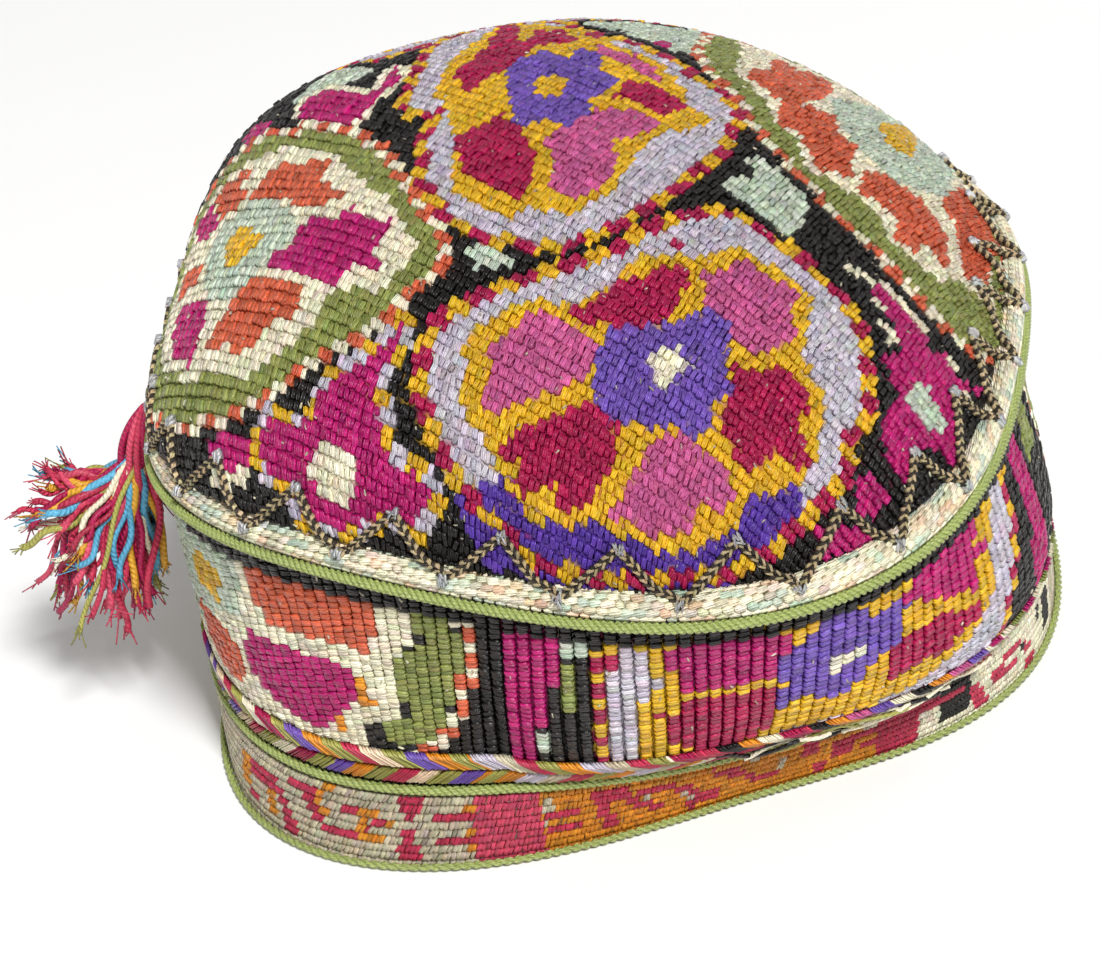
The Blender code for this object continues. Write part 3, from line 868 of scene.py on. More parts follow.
@dataclass(frozen=True)
class Dashes:
    """A dashed line: near it, two threads take turns."""

    threads: tuple[Silk, Silk]
    corners: Sequence[tuple[float, float]]
    reach: float = 1.5
    block: float = 4.0
    closed: bool = True

    def paint(self, a: np.ndarray, b: np.ndarray, numbers: np.ndarray) -> None:
        """Gives the two threads in blocks along the line to the places within reach of it."""
        start = np.array(self.corners, float)
        run = np.roll(start, -1, 0) - start
        if not self.closed:
            start, run = start[:-1], run[:-1]
        length = np.linalg.norm(run, axis=1)
        before = np.concatenate([[0], np.cumsum(length)[:-1]])
        off = np.stack([a, b], -1)[:, None] - start
        share = np.clip((off * run).sum(-1) / length**2, 0, 1)
        apart = np.linalg.norm(off - share[..., None] * run, axis=-1)
        nearest = apart.argmin(1)
        rows = np.arange(len(a))
        along = before[nearest] + share[rows, nearest] * length[nearest]
        turn = (along // self.block).astype(int) % 2
        choice = np.array([THREADS.index(thread) for thread in self.threads])
        close = apart[rows, nearest] < self.reach
        numbers[close] = choice[turn[close]]


def inside(corners: Sequence[tuple[float, float]], a: np.ndarray, b: np.ndarray) -> np.ndarray:
    """Which places are inside a closed outline: a line from them crosses it an odd number of times."""
    start = np.array(corners, float)[:, :, None]
    end = np.roll(start, -1, 0)
    crosses = (start[:, 1] > b) != (end[:, 1] > b)
    rise = end[:, 1] - start[:, 1]
    rise = np.where(rise == 0, 1.0, rise)
    at = start[:, 0] + (b - start[:, 1]) * (end[:, 0] - start[:, 0]) / rise
    return (crosses & (a < at)).sum(0) % 2 == 1


def threads_at(chart: Sequence[Area | Dashes], ground: Silk, a: np.ndarray, b: np.ndarray) -> np.ndarray:
    """The thread number at each place, painting a chart's areas in order over a ground."""
    numbers = np.full(a.shape, THREADS.index(ground))
    for part in chart:
        part.paint(a, b, numbers)
    return numbers


def plot(text: str) -> tuple[tuple[float, float], ...]:
    """Places on a chart, from text that gives each as a,b."""
    return tuple((float(a), float(b)) for a, b in (pair.split(",") for pair in text.split()))


def areas(text: str) -> tuple[Area, ...]:
    """Areas of a chart, from text that gives each one's thread and then its corners as a,b.

    Two corners stand for an upright box.

    Args:
        text: words with spaces or new lines between them.

    Returns:
        The areas in order.
    """
    found: list[tuple[Silk, list[tuple[float, float]]]] = []
    for word in text.split():
        if word in Silk.__members__:
            found.append((Silk[word], []))
        else:
            found[-1][1].extend(plot(word))
    for _, corners in found:
        if len(corners) == 2:
            (left, low), (right, high) = corners
            corners[:] = [(left, low), (right, low), (right, high), (left, high)]
    return tuple(Area(thread, corners) for thread, corners in found)


# The crown's chart: millimetres from the apex, a towards +X and b towards +Y
FRONT_OUTER = plot("""
    40,-37 30,-42 22,-46.5 18,-50 13,-51.5 -5,-54 -12,-56 -17,-58 -20,-61.5 -23,-67 -25,-73 -25,-84
    -23,-94 -19.5,-100 -18,-106.5 -13,-109.5 -7,-113 0,-115 20,-118 33,-113 43,-106 50,-100 53,-91.5
    58,-86 60,-76 62,-66.5 60.5,-58 53,-46.5 48,-42
""")
FRONT_GROUND = plot("""
    40.5,-48 34.5,-52 21,-52 15.5,-58 12,-60.5 7,-61.5 1,-59 -4,-59.5 -9.5,-61 -14,-64.5 -15,-70 -18,-75
    -18,-79 -15.5,-87 -16,-91.5 -15.5,-96 -12,-100.5 -7,-103 -1,-103 4.5,-109 9.5,-111.5 14.5,-112.5
    24.5,-109.5 30,-103.5 40.5,-101.5 45.5,-95.5 47,-90.5 49.5,-84 47,-74 53,-60.5 49.5,-54
""")
TOP_OUTER = plot("""
    -16,9 -13,23 -11,37 -10,44.5 -8,50.5 -3,57 5,60 12,57 18,50 20.5,42 25,36 35,27 40,20 47,7.5 49.5,0.5
    48,-5 43.5,-17 37,-26 29.5,-35.5 20,-43.5 15.5,-46 9,-47.5 3,-46 -6.5,-40 -11,-33.5 -14.5,-21 -13,-15
    -13,-8 -9.5,1.5 -14.5,5
""")
TOP_GROUND = plot("""
    -8,6 -10,9.5 -8,16.5 -6.5,25 -4,33 -1,39 2,50.5 6,59 20,40 22.5,36 35,21.5 39,9.5 39,1.5 43.5,-5
    38,-11 33,-11 26,-22 20.5,-33 17,-36 12,-39 3,-35.5 0.5,-38 -5.5,-33 -9,-27.5 -8.5,-22 -6.5,-10
    -6.5,-5
""")
LEFT_OUTER = plot("""
    -59,29 -45,24 -34,14 -24.5,3 -21,-3.5 -19,-12 -15.5,-29 -13,-35 -12.5,-42 -14.5,-47 -20,-50 -27,-55
    -34,-57 -53,-59 -64.5,-56 -74.5,-48.5 -79,-43.5 -85,-31 -88,-23 -88,-10 -86,5 -80,18 -70,26
""")
LEFT_GROUND = plot("""
    -59,23 -50.5,19 -38,12 -30.5,2.5 -29,-3.5 -24,-18.5 -21,-25 -17,-40 -20,-43.5 -27,-48.5 -30,-46
    -34.5,-44 -39,-48.5 -45.5,-52 -55.5,-52 -60.5,-47 -69,-40 -75.5,-30 -78,-23 -78,-10 -76,2 -72,14
    -66,20
""")
RIGHT_OUTER = plot("""
    48,58 46.5,47 43.5,29 45,21 50.5,5 51,-3 58,-18.5 65.5,-32 74.5,-44 84,-54.5 90,-56.5 100,-53.5
    108,-40 112,-10 112,20 102,40 86,52 66,58
""")
RIGHT_GROUND = plot("""
    53,56 54,40.5 52,32.5 51,20 56.5,7 56.5,-1 60.5,-6.5 60.5,-15.5 74.5,-24.5 74.5,-32 81,-38 86,-40
    91,-34 97,-35 103,-42 106,-10 106,20 98,36 84,46 66,53
""")

FRONT_ROSE = areas("""
    PINK -1,-61 4,-63 9.5,-70 9,-73 6.5,-77.5 0,-79 -13,-79.5 -15,-78 -10,-71.5 -10,-66 -3,-64
    CRIMSON 6,-63 10.5,-62.5 16.5,-57.5 22,-57.5 24.5,-55 29.5,-55 29.5,-60 26.5,-62.5 25.5,-66.5
        19.5,-69 13,-68 9,-66.5
    PINK 32,-56.5 37,-55 39.5,-52 42,-52.5 44,-55.5 49.5,-56.5 50,-60 47,-64 47,-70 44.5,-73 38,-75.5
        34.5,-74 34,-70.5 31.5,-65.5
    PURPLE 13,-68 9.5,-72.5 7,-79 5.5,-81.5 8,-84 9.5,-87.5 12,-87.5 14.5,-89.5 19.5,-89.5 22,-92
        26.5,-90 27,-85.5 31.5,-84 32,-77.5 34,-73 34.5,-67.5 31.5,-65.5 26.5,-67.5 21.5,-69
    CREAM 17,-77.5 20,-74 24,-74 26,-78 22,-80 19.5,-82.5
    CRIMSON 33,-78 37,-79.5 43,-78 46.5,-83 45.5,-87.5 42,-88 43.5,-97.5 40.5,-98.5 36.5,-95.5 34,-98
        30,-100 27.5,-92.5 28,-88 31.5,-84
    PINK 16.5,-90.5 22,-92 23.5,-95.5 26.5,-99 26.5,-103 23,-106.5 18,-104 18,-107.5 13,-109.5 8,-108
        1.5,-103 10.5,-95.5 13,-93
    CRIMSON -7,-83.5 5.5,-82.5 9.5,-87.5 7,-90.5 6.5,-94 -0.5,-99 -4.5,-100.5 -8.5,-98.5 -6,-95
        -9.5,-94.5 -13.5,-95.5 -14,-93 -9.5,-89 -15,-89 -14,-86
""")
TOP_ROSE = areas("""
    PURPLE 5.5,17.5 8,23.5 12,26 17,21 20,27 24,23.5 24,18 22.5,13 27.5,9.5 20.5,0.5 20,-6.5 14.5,-11.5
        12,-7.5 6.5,-10 5,-5 4.5,9.5
    YELLOW 10,9.5 14.5,13 17,11 16,6 14.5,2.5 10,3
    CRIMSON -5.5,19 -1,27 2,36 3,53 2,59 6,59 7.5,50.5 8,36 13.5,35 10,27 5.5,18 0.5,13 -3,7.5
    CRIMSON 11,44.5 17,41 20,32 13.5,30.5 11,35
    PINK 22.5,32 31,23.5 35.5,13 34.5,8.5 29.5,18 24,22.5
    CRIMSON 27.5,9.5 33,8.5 37.5,4 39,-0.5 33,-5.5 29.5,-1 25,2.5
    PINK 20.5,-4 26,-3 33,-7.5 31,-11 22.5,-17 22.5,-25 18,-32.5 12,-35.5 9,-32 11,-22 10,-15 14.5,-11
    CRIMSON 0.5,-5.5 3,-3 5.5,-8 7.5,-14.5 6.5,-27.5 2,-33.5 -1,-29 -5.5,-23 -7,-11 -3,-7.5
""")
LEFT_ROSE = areas("""
    MINT -60,4 -50.5,3.5 -45.5,-1 -39,-16.5 -40.5,-25 -55.5,-29 -60,-24 -63,-12 -62,-3.5
    YELLOW -55.5,-3.5 -52,-4 -46.5,-17.5 -55.5,-19 -57.5,-7.5
    CORAL -47,9 -42,9 -38,3.5 -34.5,5 -31,-1 -33.5,-6.5 -29,-18.5 -33.5,-17.5 -38,-13.5 -43.5,-2.5 -51,4
    CORAL -62,19 -56,20 -50.5,15 -53.5,11.5 -51,6.5 -58.5,7.5 -60,12.5
    MAGENTA -68.5,19 -63,18.5 -61,12.5 -58.5,6 -63.5,5 -67,11
    CORAL -72,4 -67,1.5 -63.5,-5 -64.5,-9 -71,-6.5 -74.5,0
    MAGENTA -72,-13.5 -67,-15 -61,-22.5 -63.5,-29 -68,-36.5 -70.5,-32.5 -73.5,-25
    CORAL -55.5,-30 -52,-27.5 -48,-30 -40.5,-40 -43,-46 -48,-43.5 -53,-47.5 -57,-43.5 -58,-40 -63.5,-39
        -63,-35
    MAGENTA -46.5,-25 -40.5,-26 -38.5,-21.5 -35.5,-21.5 -32,-25 -28,-22.5 -25.5,-28.5 -21,-31.5
        -25.5,-38.5 -24.5,-42.5 -30.5,-40 -34.5,-44 -38,-40 -45.5,-29
""")
RIGHT_ROSE = areas("""
    MINT 70.5,23 80,32.5 89,39.5 97,34.5 103,29.5 101,18 97,3 90,-5.5 81,-8.5 74.5,-1.5 71.5,7
    YELLOW 81,16 84,24.5 90,37.5 95,35.5 88,9 82.5,9.5
    CORAL 59.5,42.5 64.5,45.5 65.5,36.5 68.5,45.5 74.5,43.5 72.5,29.5 68.5,19 62.5,12 57.5,12 56.5,18
        53,19 54,27.5 59.5,30.5
    CORAL 59.5,12 71.5,13 70.5,3 74,1 70.5,-14.5 63.5,-15.5 60.5,-1 56.5,-1
    CORAL 74.5,-9.5 79,-7.5 89,-10.5 94,-16.5 90,-34 85,-28 81,-34 76.5,-32 79,-24.5 71.5,-18.5
    CORAL 109.5,23 104.5,18 94,-3 99,-6.5 98,-21 95,-28 101,-31 104.5,-21 109.5,-8.5
""")
FRONT_FILLERS = (
    *areas("""
        MINT -10,-43.5 -6,-42.5 -2,-44.5 0,-48.5 -3,-50 -8,-48
        MINT 41,-29 45,-25 49.5,-25 47.5,-19 52,-16 56.5,-21.5 59,-28.5 56.5,-37 52,-41.5 47,-35.5
            43.5,-33.5
        CREAM -73,-61 -70,-61 -63,-68 -64,-70 -67,-69 -73,-64
        MAGENTA -70,-60 -68.5,-57 -63.5,-59 -59.5,-63.5 -60.5,-68.5 -66,-65.5
    """),
    Dashes((Silk.YELLOW, Silk.LILAC), plot("""
        -60,-66.5 -54.5,-62 -50,-67 -45,-67 -39.5,-62 -30,-60 -23,-56 -24,-60.5 -32,-67.5 -31.5,-73
        -34.5,-77.5 -33.5,-81.5 -29.5,-86 -29.5,-91 -38.5,-94.5 -41,-89.5 -50,-88.5 -59,-82 -57.5,-76
        -60,-70.5
    """), 1.9, 4.2),
    *areas("""
        MAGENTA -60,-66.5 -54.5,-63 -50,-67.5 -46,-67.5 -43.5,-64 -30,-61 -24,-57 -25,-60.5 -33,-67.5
            -32.5,-73 -35.5,-77.5 -34.5,-81.5 -30.5,-86 -30.5,-90 -38.5,-93.5 -40,-88.5 -50,-87.5
            -58,-82 -56,-74 -59,-70.5
        CREAM -51.5,-79 -51.5,-75.5 -47,-72 -42,-75 -41,-79.5 -47,-84 -50.5,-83
        MAGENTA 68.5,-49 73.5,-53.5 77.5,-58.5 78,-64.5 82.5,-61.5 84.5,-67 92.5,-65.5 91,-68.5
            84.5,-69.5 81,-74.5 81,-81.5 84,-87.5 81,-92 73,-88 66.5,-91 67,-96 64.5,-99 60.5,-96 60,-87
            66.5,-79.5 64.5,-70 69.5,-68 70,-60.5 67,-51
        CREAM 62,-45 68,-47 69,-50 64,-48.5
        CREAM 70,-46 75,-50.5 79.5,-57.5 78,-59.5 73,-53 69,-48
        CREAM 66,-53 69,-54 69.5,-59 67.5,-59
        CREAM 66.5,-61 70,-61.5 69.5,-66 67,-66
        CREAM 84,-70 87,-69.5 89.5,-72 86,-73.5
        CREAM 82,-62 84.5,-61.5 85,-65 83,-65
        MINT 68,-79 71,-74.5 74.5,-73.5 76.5,-77.5 78.5,-82.5 75,-85 71.5,-82.5
        MAGENTA 52,-99.5 56,-98 60,-103 56,-106 52,-107
        MAGENTA 41,-109 54,-109 55,-115 42,-116
    """),
)
BACK_FILLERS = areas("""
    MINT 21.5,47 29.5,55 47,57 43.5,29 37.5,28 33,36 28.5,42
    MAGENTA 35,30 38,30 38,35.5 35.5,35.5
    CREAM -40,31.5 -31,31.5 -22.5,22 -18.5,33 -14,31 -14.5,20 -22,12.5 -23,7.5 -31,11 -36,17 -39.5,22
    MAGENTA -38,30 -33.5,30 -26,23.5 -25,19 -20.5,20 -17,32.5 -16,21.5 -23,13.5 -25,9 -34.5,17.5
        -38,22.5
    MAGENTA -53.5,35 -48.5,36 -46,29 -45,24 -52,28.5
""")


def half_turn(chart: Sequence[Area | Dashes]) -> tuple[Area | Dashes, ...]:
    """A chart turned half round the crown's middle, for the side that the first one leaves bare."""
    centre_a, centre_b = 20.0, 4.0
    turned_parts = []
    for part in chart:
        corners = tuple((centre_a - a, centre_b - b) for a, b in part.corners)
        turned_parts.append(replace(part, corners=corners))
    return tuple(turned_parts)


FRONT_MEDALLION = (
    Area(Silk.LILAC, FRONT_OUTER),
    *areas("""
        DEEP_PURPLE -26,-91 -14,-91 -10,-100 40,-100 40,-108 20,-121 -10,-116 -28,-104
    """),
    Dashes((Silk.YELLOW, Silk.CRIMSON), FRONT_OUTER, 1.7, 4.6),
    Area(Silk.YELLOW, FRONT_GROUND),
    *areas("CRIMSON 28.5,-47.5 31,-48 30.5,-50.5 28,-50"),
    *FRONT_ROSE,
)
CROWN_CHART = (
    *half_turn(FRONT_FILLERS),
    *BACK_FILLERS,
    *FRONT_FILLERS,
    Area(Silk.GREEN, LEFT_OUTER),
    Dashes((Silk.CORAL, Silk.CREAM), LEFT_OUTER, 1.4, 3.6),
    Area(Silk.CREAM, LEFT_GROUND),
    *LEFT_ROSE,
    Area(Silk.GREEN, RIGHT_OUTER),
    Dashes((Silk.CORAL, Silk.CREAM), RIGHT_OUTER, 1.4, 3.6),
    Area(Silk.CREAM, RIGHT_GROUND),
    *RIGHT_ROSE,
    *half_turn(FRONT_MEDALLION),
    Area(Silk.LILAC, TOP_OUTER),
    Dashes((Silk.YELLOW, Silk.CRIMSON), TOP_OUTER, 1.5, 4.6),
    Area(Silk.YELLOW, TOP_GROUND),
    *TOP_ROSE,
    *FRONT_MEDALLION,
)

# The band's chart: azimuth in degrees, and millimetres up the strip. It repeats half a turn on.
BAND_CHART = (
    *areas("""
        CREAM 180,10 180,53 243,53 244,44 239,33 239,22 234,18 232,10
        MINT 190,53 220,53 219,34 212,30 205,20 195,20 190,30
        YELLOW 209,42 215.5,41 214,33 208,33
        CORAL 205,27 214,27 216,22 214,14 206,14
        CORAL 221,50 240,50.5 238.5,43 237,36.5 223,35.5 221.5,42
        MAGENTA 216,22.7 218.4,30.6 234,32 234,24 226.5,13.4 221,15.5 217.5,20.6
        ORANGE 233.5,23 235.7,23 235.7,30 233.5,30
        ORANGE 229,15 231,15 231,18 229,18
        GREEN 242.5,53 244,44 243.5,39 241,38 239.4,35 239.6,28 240,21 235.8,20.5 235.5,14 243,14 244,22
            245.9,27 247.4,33 248.6,41 248.6,53
    """),
    Dashes((Silk.CORAL, Silk.CREAM), plot("""
        249.8,54 249.6,41 248.4,33 246.8,26 245,21.5 243.4,16 239,12.5
    """), 1.0, 3.4, closed=False),
    *areas("""
        BLACK 250.6,54 250.4,40 249,32 247.4,25 245.6,20 243.4,15 240,11 265,8 263,18 265.4,45 265.8,54
        MAGENTA 254.4,54 254,39 253,28 251.7,21 250.5,10 253.6,8 255.5,23.4 257.3,25.6 258.5,34
            259.8,41.5 260.7,54
        MINT 260.8,43 263.2,43 263.4,49.5 261,49.5
        GREEN 258.8,29 261.5,29 261.9,41 260,41
        MINT 255,15 257,15 257.2,23 255.4,23
        LILAC 262,8 262.5,18 265,45.6 266,54 322,54 320.5,30 316,22 316,8
    """),
    Dashes((Silk.YELLOW, Silk.CRIMSON), plot("""
        266.2,54 265.2,45 264,33 263,20 262.3,8
    """), 0.9, 3.5, closed=False),
    *areas("""
        YELLOW 268.5,47 266.5,54 318,54 317.4,45.6 314.7,38.4 313.4,29 309,22 304,18 296,12 267,8 267,17
            268,21.3 267,25 267.4,30.6 270,32.7 270.5,37
        CRIMSON 267.5,47 270,47 270,50 267.5,50
        MAGENTA 271.3,43.4 273.3,46.3 283.4,46 285,43 285,40 283.4,32.6 272.4,33 272.4,37
        CRIMSON 270,27.7 272.4,27.7 273.3,30.6 283.2,30 283.2,15.5 280,10 274,12 271,18.4
        PURPLE 283.7,38.4 286,40 289,45 291.8,45.6 293.6,44 293.8,40.6 295.8,41.3 298.5,41.3 300,39
            298.5,37.7 298.3,30.6 296.7,29.9 294.5,27 293.1,23.4 291.3,20.6 289,22 288.2,24.9 286.4,23.4
            283.7,20.6 283.2,27.7 285,29.9 283.4,31.3
        CREAM 289.5,33.4 293.8,34.5 293.5,31.3 290.9,28.8 289.5,29.1
        MAGENTA 298.5,41.3 302,45.6 310.2,48 312,45.6 312.7,42 311,41.3 314.7,38.4 313.8,36.6 310.7,37.7
            310.5,32 305.7,34.9 303,37.3
        CRIMSON 296.7,29.9 303,32.7 305.3,32.7 306.6,29.9 311,29 310.7,25.6 307.5,24.9 304.8,22
            301.7,23.4 298.5,21.3 296.7,20.6
        BLACK 318,8 316,22 319,30 321,36 322.6,54 346,54 346,8
    """),
    Dashes((Silk.YELLOW, Silk.CRIMSON), plot("""
        322,54 321,40 319.4,31 316.5,22 315,8
    """), 0.9, 3.5, closed=False),
    *areas("""
        MAGENTA 324,8 323.5,24 325,47 325.5,54 330,54 329,24 329.5,8
        GREEN 331,36 331.5,46 337,46 337,36
    """),
    Dashes((Silk.CORAL, Silk.CREAM), plot("341,54 340,41 341,27 344,12"), 1.0, 3.4, closed=False),
    *areas("""
        GREEN 342,54 341.2,41 342.2,27 346,12 352,12 348,27 348,54
        CREAM 348,54 348,27 352,12 360,10 360,54
    """),
)
BAND_REPEAT = 180.0


def every_pair(first: np.ndarray, second: np.ndarray) -> tuple[np.ndarray, np.ndarray]:
    """Each number of the first with each of the second, as two flat arrays."""
    one, other = np.meshgrid(first, second, indexing="ij")
    return one.ravel(), other.ravel()


def slanted(
    half_long: np.ndarray | float, half_wide: np.ndarray | float, turn: np.ndarray, degree: float = 1.0
) -> tuple[tuple[np.ndarray, np.ndarray], tuple[np.ndarray, np.ndarray]]:
    """A stitch's half length and half width on the chart, turned to the left.

    Args:
        half_long: from its middle to its tip, in millimetres.
        half_wide: from its middle to its edge.
        turn: radians from the chart's first direction.
        degree: millimetres in one unit of the chart's first direction.

    Returns:
        The two vectors, each as its two parts.
    """
    long = (half_long * np.cos(turn) / degree, half_long * np.sin(turn))
    wide = (-half_wide * np.sin(turn) / degree, half_wide * np.cos(turn))
    return long, wide


def jitter(rng: np.random.Generator, number: int, spread: float) -> np.ndarray:
    """Small hand-made differences, centred on 0."""
    return rng.normal(0, spread, number)


def stitch_threads(colour: np.ndarray, rng: np.random.Generator, spread: float = 0.13) -> np.ndarray:
    """Colours with each stitch a little lighter or darker than the next, and a little off in hue."""
    hue = rng.normal(0, 0.3 * spread, colour.shape)
    return np.clip(colour * (1 + jitter(rng, len(colour), spread)[:, None] + hue), 0, 1)


def add_flecks(
    pile: Pile,
    face: Surface,
    a: np.ndarray,
    b: np.ndarray,
    degree: float,
    base: float,
    rng: np.random.Generator,
) -> None:
    """Short bits of pale ground thread that show between the stitches.

    Args:
        pile: where they go.
        face: the surface.
        a: places on its chart.
        b: places on its chart, in millimetres.
        degree: millimetres for each unit of a.
        base: how far off the face they start.
        rng: for their turns and lengths.
    """
    number = len(a)
    turn = rng.uniform(-1.2, 1.2, number) + math.pi / 2
    half_long = rng.uniform(0.30, 0.75, number)
    half_wide = rng.uniform(0.10, 0.20, number)
    pile.grains(
        face,
        (a + jitter(rng, number, 0.3) / degree, b + jitter(rng, number, 0.3)),
        *slanted(half_long, half_wide, turn, degree),
        0.0004,
        base,
        stitch_threads(np.tile(Silk.CREAM.linear(), (number, 1)), rng, 0.12),
    )


def dress(
    piece: bpy.types.Object,
    finish: ThreadFinish | ClothFinish | bpy.types.Material,
    slot: str,
    *nodes: str,
) -> None:
    """Gives a piece its material and its body, and hides the solids that it stands for."""
    shared = isinstance(finish, bpy.types.Material)
    piece.data.materials.append(finish if shared else finish.material())
    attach(piece, "root")
    if nodes:
        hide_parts(*nodes)
    LOG.info("%s: %d faces", piece.name, len(piece.data.polygons))


@dataclass
class Crown:
    """The domed top: a cloth shell, and cross stitches in slanting rows all over it."""

    form: HatForm
    row_pitch: float = 2.30
    stitch_pitch: float = 1.14
    row_angle: float = -50.0
    stitch_turn: float = 19.0
    reach: float = 134.0
    stitch_height: float = 0.0010
    stitch_base: float = -0.0007
    cloth_drop: float = 0.0005
    fleck_share: float = 0.03
    # painted shade: how much darker than its stitches the cloth shows in the gaps between them
    painted_gap_shade: float = 0.70
    long_lap: float = 1.16
    wide_lap: float = 1.30
    unevenness: float = 0.12
    half_rows: int = 70
    half_places: int = 135

    def __post_init__(self) -> None:
        """Lays the crown out flat."""
        self.face = CrownFace(self.form)

    def build(self) -> None:
        """Makes the cloth and the stitches."""
        self.make_cloth()
        self.make_stitches()

    def make_cloth(self) -> None:
        """The shell: the outer face a little below the stitches' tops, in the chart's colours darkened as
        painted shade for the gaps between stitches, and an inner face.
        """
        around, rows = 180, 56
        azimuth = np.linspace(0, 2 * np.pi, around, endpoint=False)[:, None]
        share = np.linspace(0.004, 1, rows)[None]
        column = (np.arange(around) * self.face.meridians // around)[:, None]
        reach = share * self.face.length[column] / MM
        a, b = reach * np.cos(azimuth), reach * np.sin(azimuth)
        wall = self.form.crown_wall
        outer = self.face.at(a, b, -self.cloth_drop)
        inner = self.face.at(a, b, -wall)
        numbers = threads_at(CROWN_CHART, Silk.BLACK, a.ravel(), b.ravel()).reshape(a.shape)
        # painted shade: the outer face takes the chart's colours darkened, so the gaps between stitches
        # read as thread in shadow
        colours = colours_of(numbers) * self.painted_gap_shade
        plain = np.broadcast_to(Silk.WHEAT.linear() * 0.8, inner.shape)
        section = np.concatenate([outer[:, ::-1], inner], 1)
        shades = np.concatenate([colours[:, ::-1], plain], 1)
        piece = closed_band("crown_cloth", section, shades)
        dress(piece, ClothFinish("crown ground cloth"), "crown_stitch", "crown")

    def make_stitches(self) -> None:
        """Rows of stitches at an angle to the hat, each stitch lying across its row."""
        rng = np.random.default_rng(SEED)
        rows = np.arange(-self.half_rows, self.half_rows + 1)
        places = np.arange(-self.half_places, self.half_places + 1)
        row, place = every_pair(rows, places)
        angle = math.radians(self.row_angle)
        along = (place + 0.5 * (row % 2)) * self.stitch_pitch
        across = row * self.row_pitch + 0.5 * np.sin(along / 19 + row * 0.7)
        a = along * math.cos(angle) - across * math.sin(angle)
        b = along * math.sin(angle) + across * math.cos(angle)
        near = np.hypot(a, b) < self.reach
        a, b = a[near], b[near]
        shown = self.above_roll(a, b)
        a, b = a[shown], b[shown]
        number = len(a)
        a = a + jitter(rng, number, self.unevenness)
        b = b + jitter(rng, number, self.unevenness)
        turn = angle + math.radians(90 + self.stitch_turn) + jitter(rng, number, 0.13)
        half_long = 0.5 * self.row_pitch / math.cos(math.radians(self.stitch_turn)) * self.long_lap
        half_long = half_long * (1 + jitter(rng, number, self.unevenness))
        half_wide = 0.5 * self.stitch_pitch * math.cos(math.radians(self.stitch_turn)) * self.wide_lap
        half_wide = half_wide * (1 + jitter(rng, number, self.unevenness))
        colour = colours_of(threads_at(CROWN_CHART, Silk.BLACK, a, b))
        colour = stitch_threads(colour, rng)
        height = self.stitch_height * (1 + jitter(rng, number, 0.14))
        base = self.stitch_base + jitter(rng, number, 0.00010)
        finish = ThreadFinish("crown silk").material()
        for name, here in (("crown_stitches_front", b < 4), ("crown_stitches_back", b >= 4)):
            pile = Pile()
            pile.grains(
                self.face,
                (a[here], b[here]),
                *slanted(half_long[here], half_wide[here], turn[here]),
                height[here],
                base[here],
                colour[here],
            )
            chosen = here & (rng.random(number) < self.fleck_share)
            fleck_base = self.stitch_base + 0.8 * self.stitch_height
            add_flecks(pile, self.face, a[chosen], b[chosen], 1.0, fleck_base, rng)
            dress(pile.make(name), finish, "crown_stitch")

    def above_roll(self, a: np.ndarray, b: np.ndarray) -> np.ndarray:
        """Which places on the chart are on the cloth and not behind the roll."""
        azimuth = np.arctan2(b, a)
        column = (np.degrees(azimuth) % 360 * self.face.meridians / 360).astype(int)
        on_cloth = np.hypot(a, b) * MM < self.face.length[column]
        low = self.form.seam_line(azimuth)[1]
        height = self.face.at(a, b, 0.0)[:, 2]
        return on_cloth & (height > low + 0.45 * self.form.roll_height)


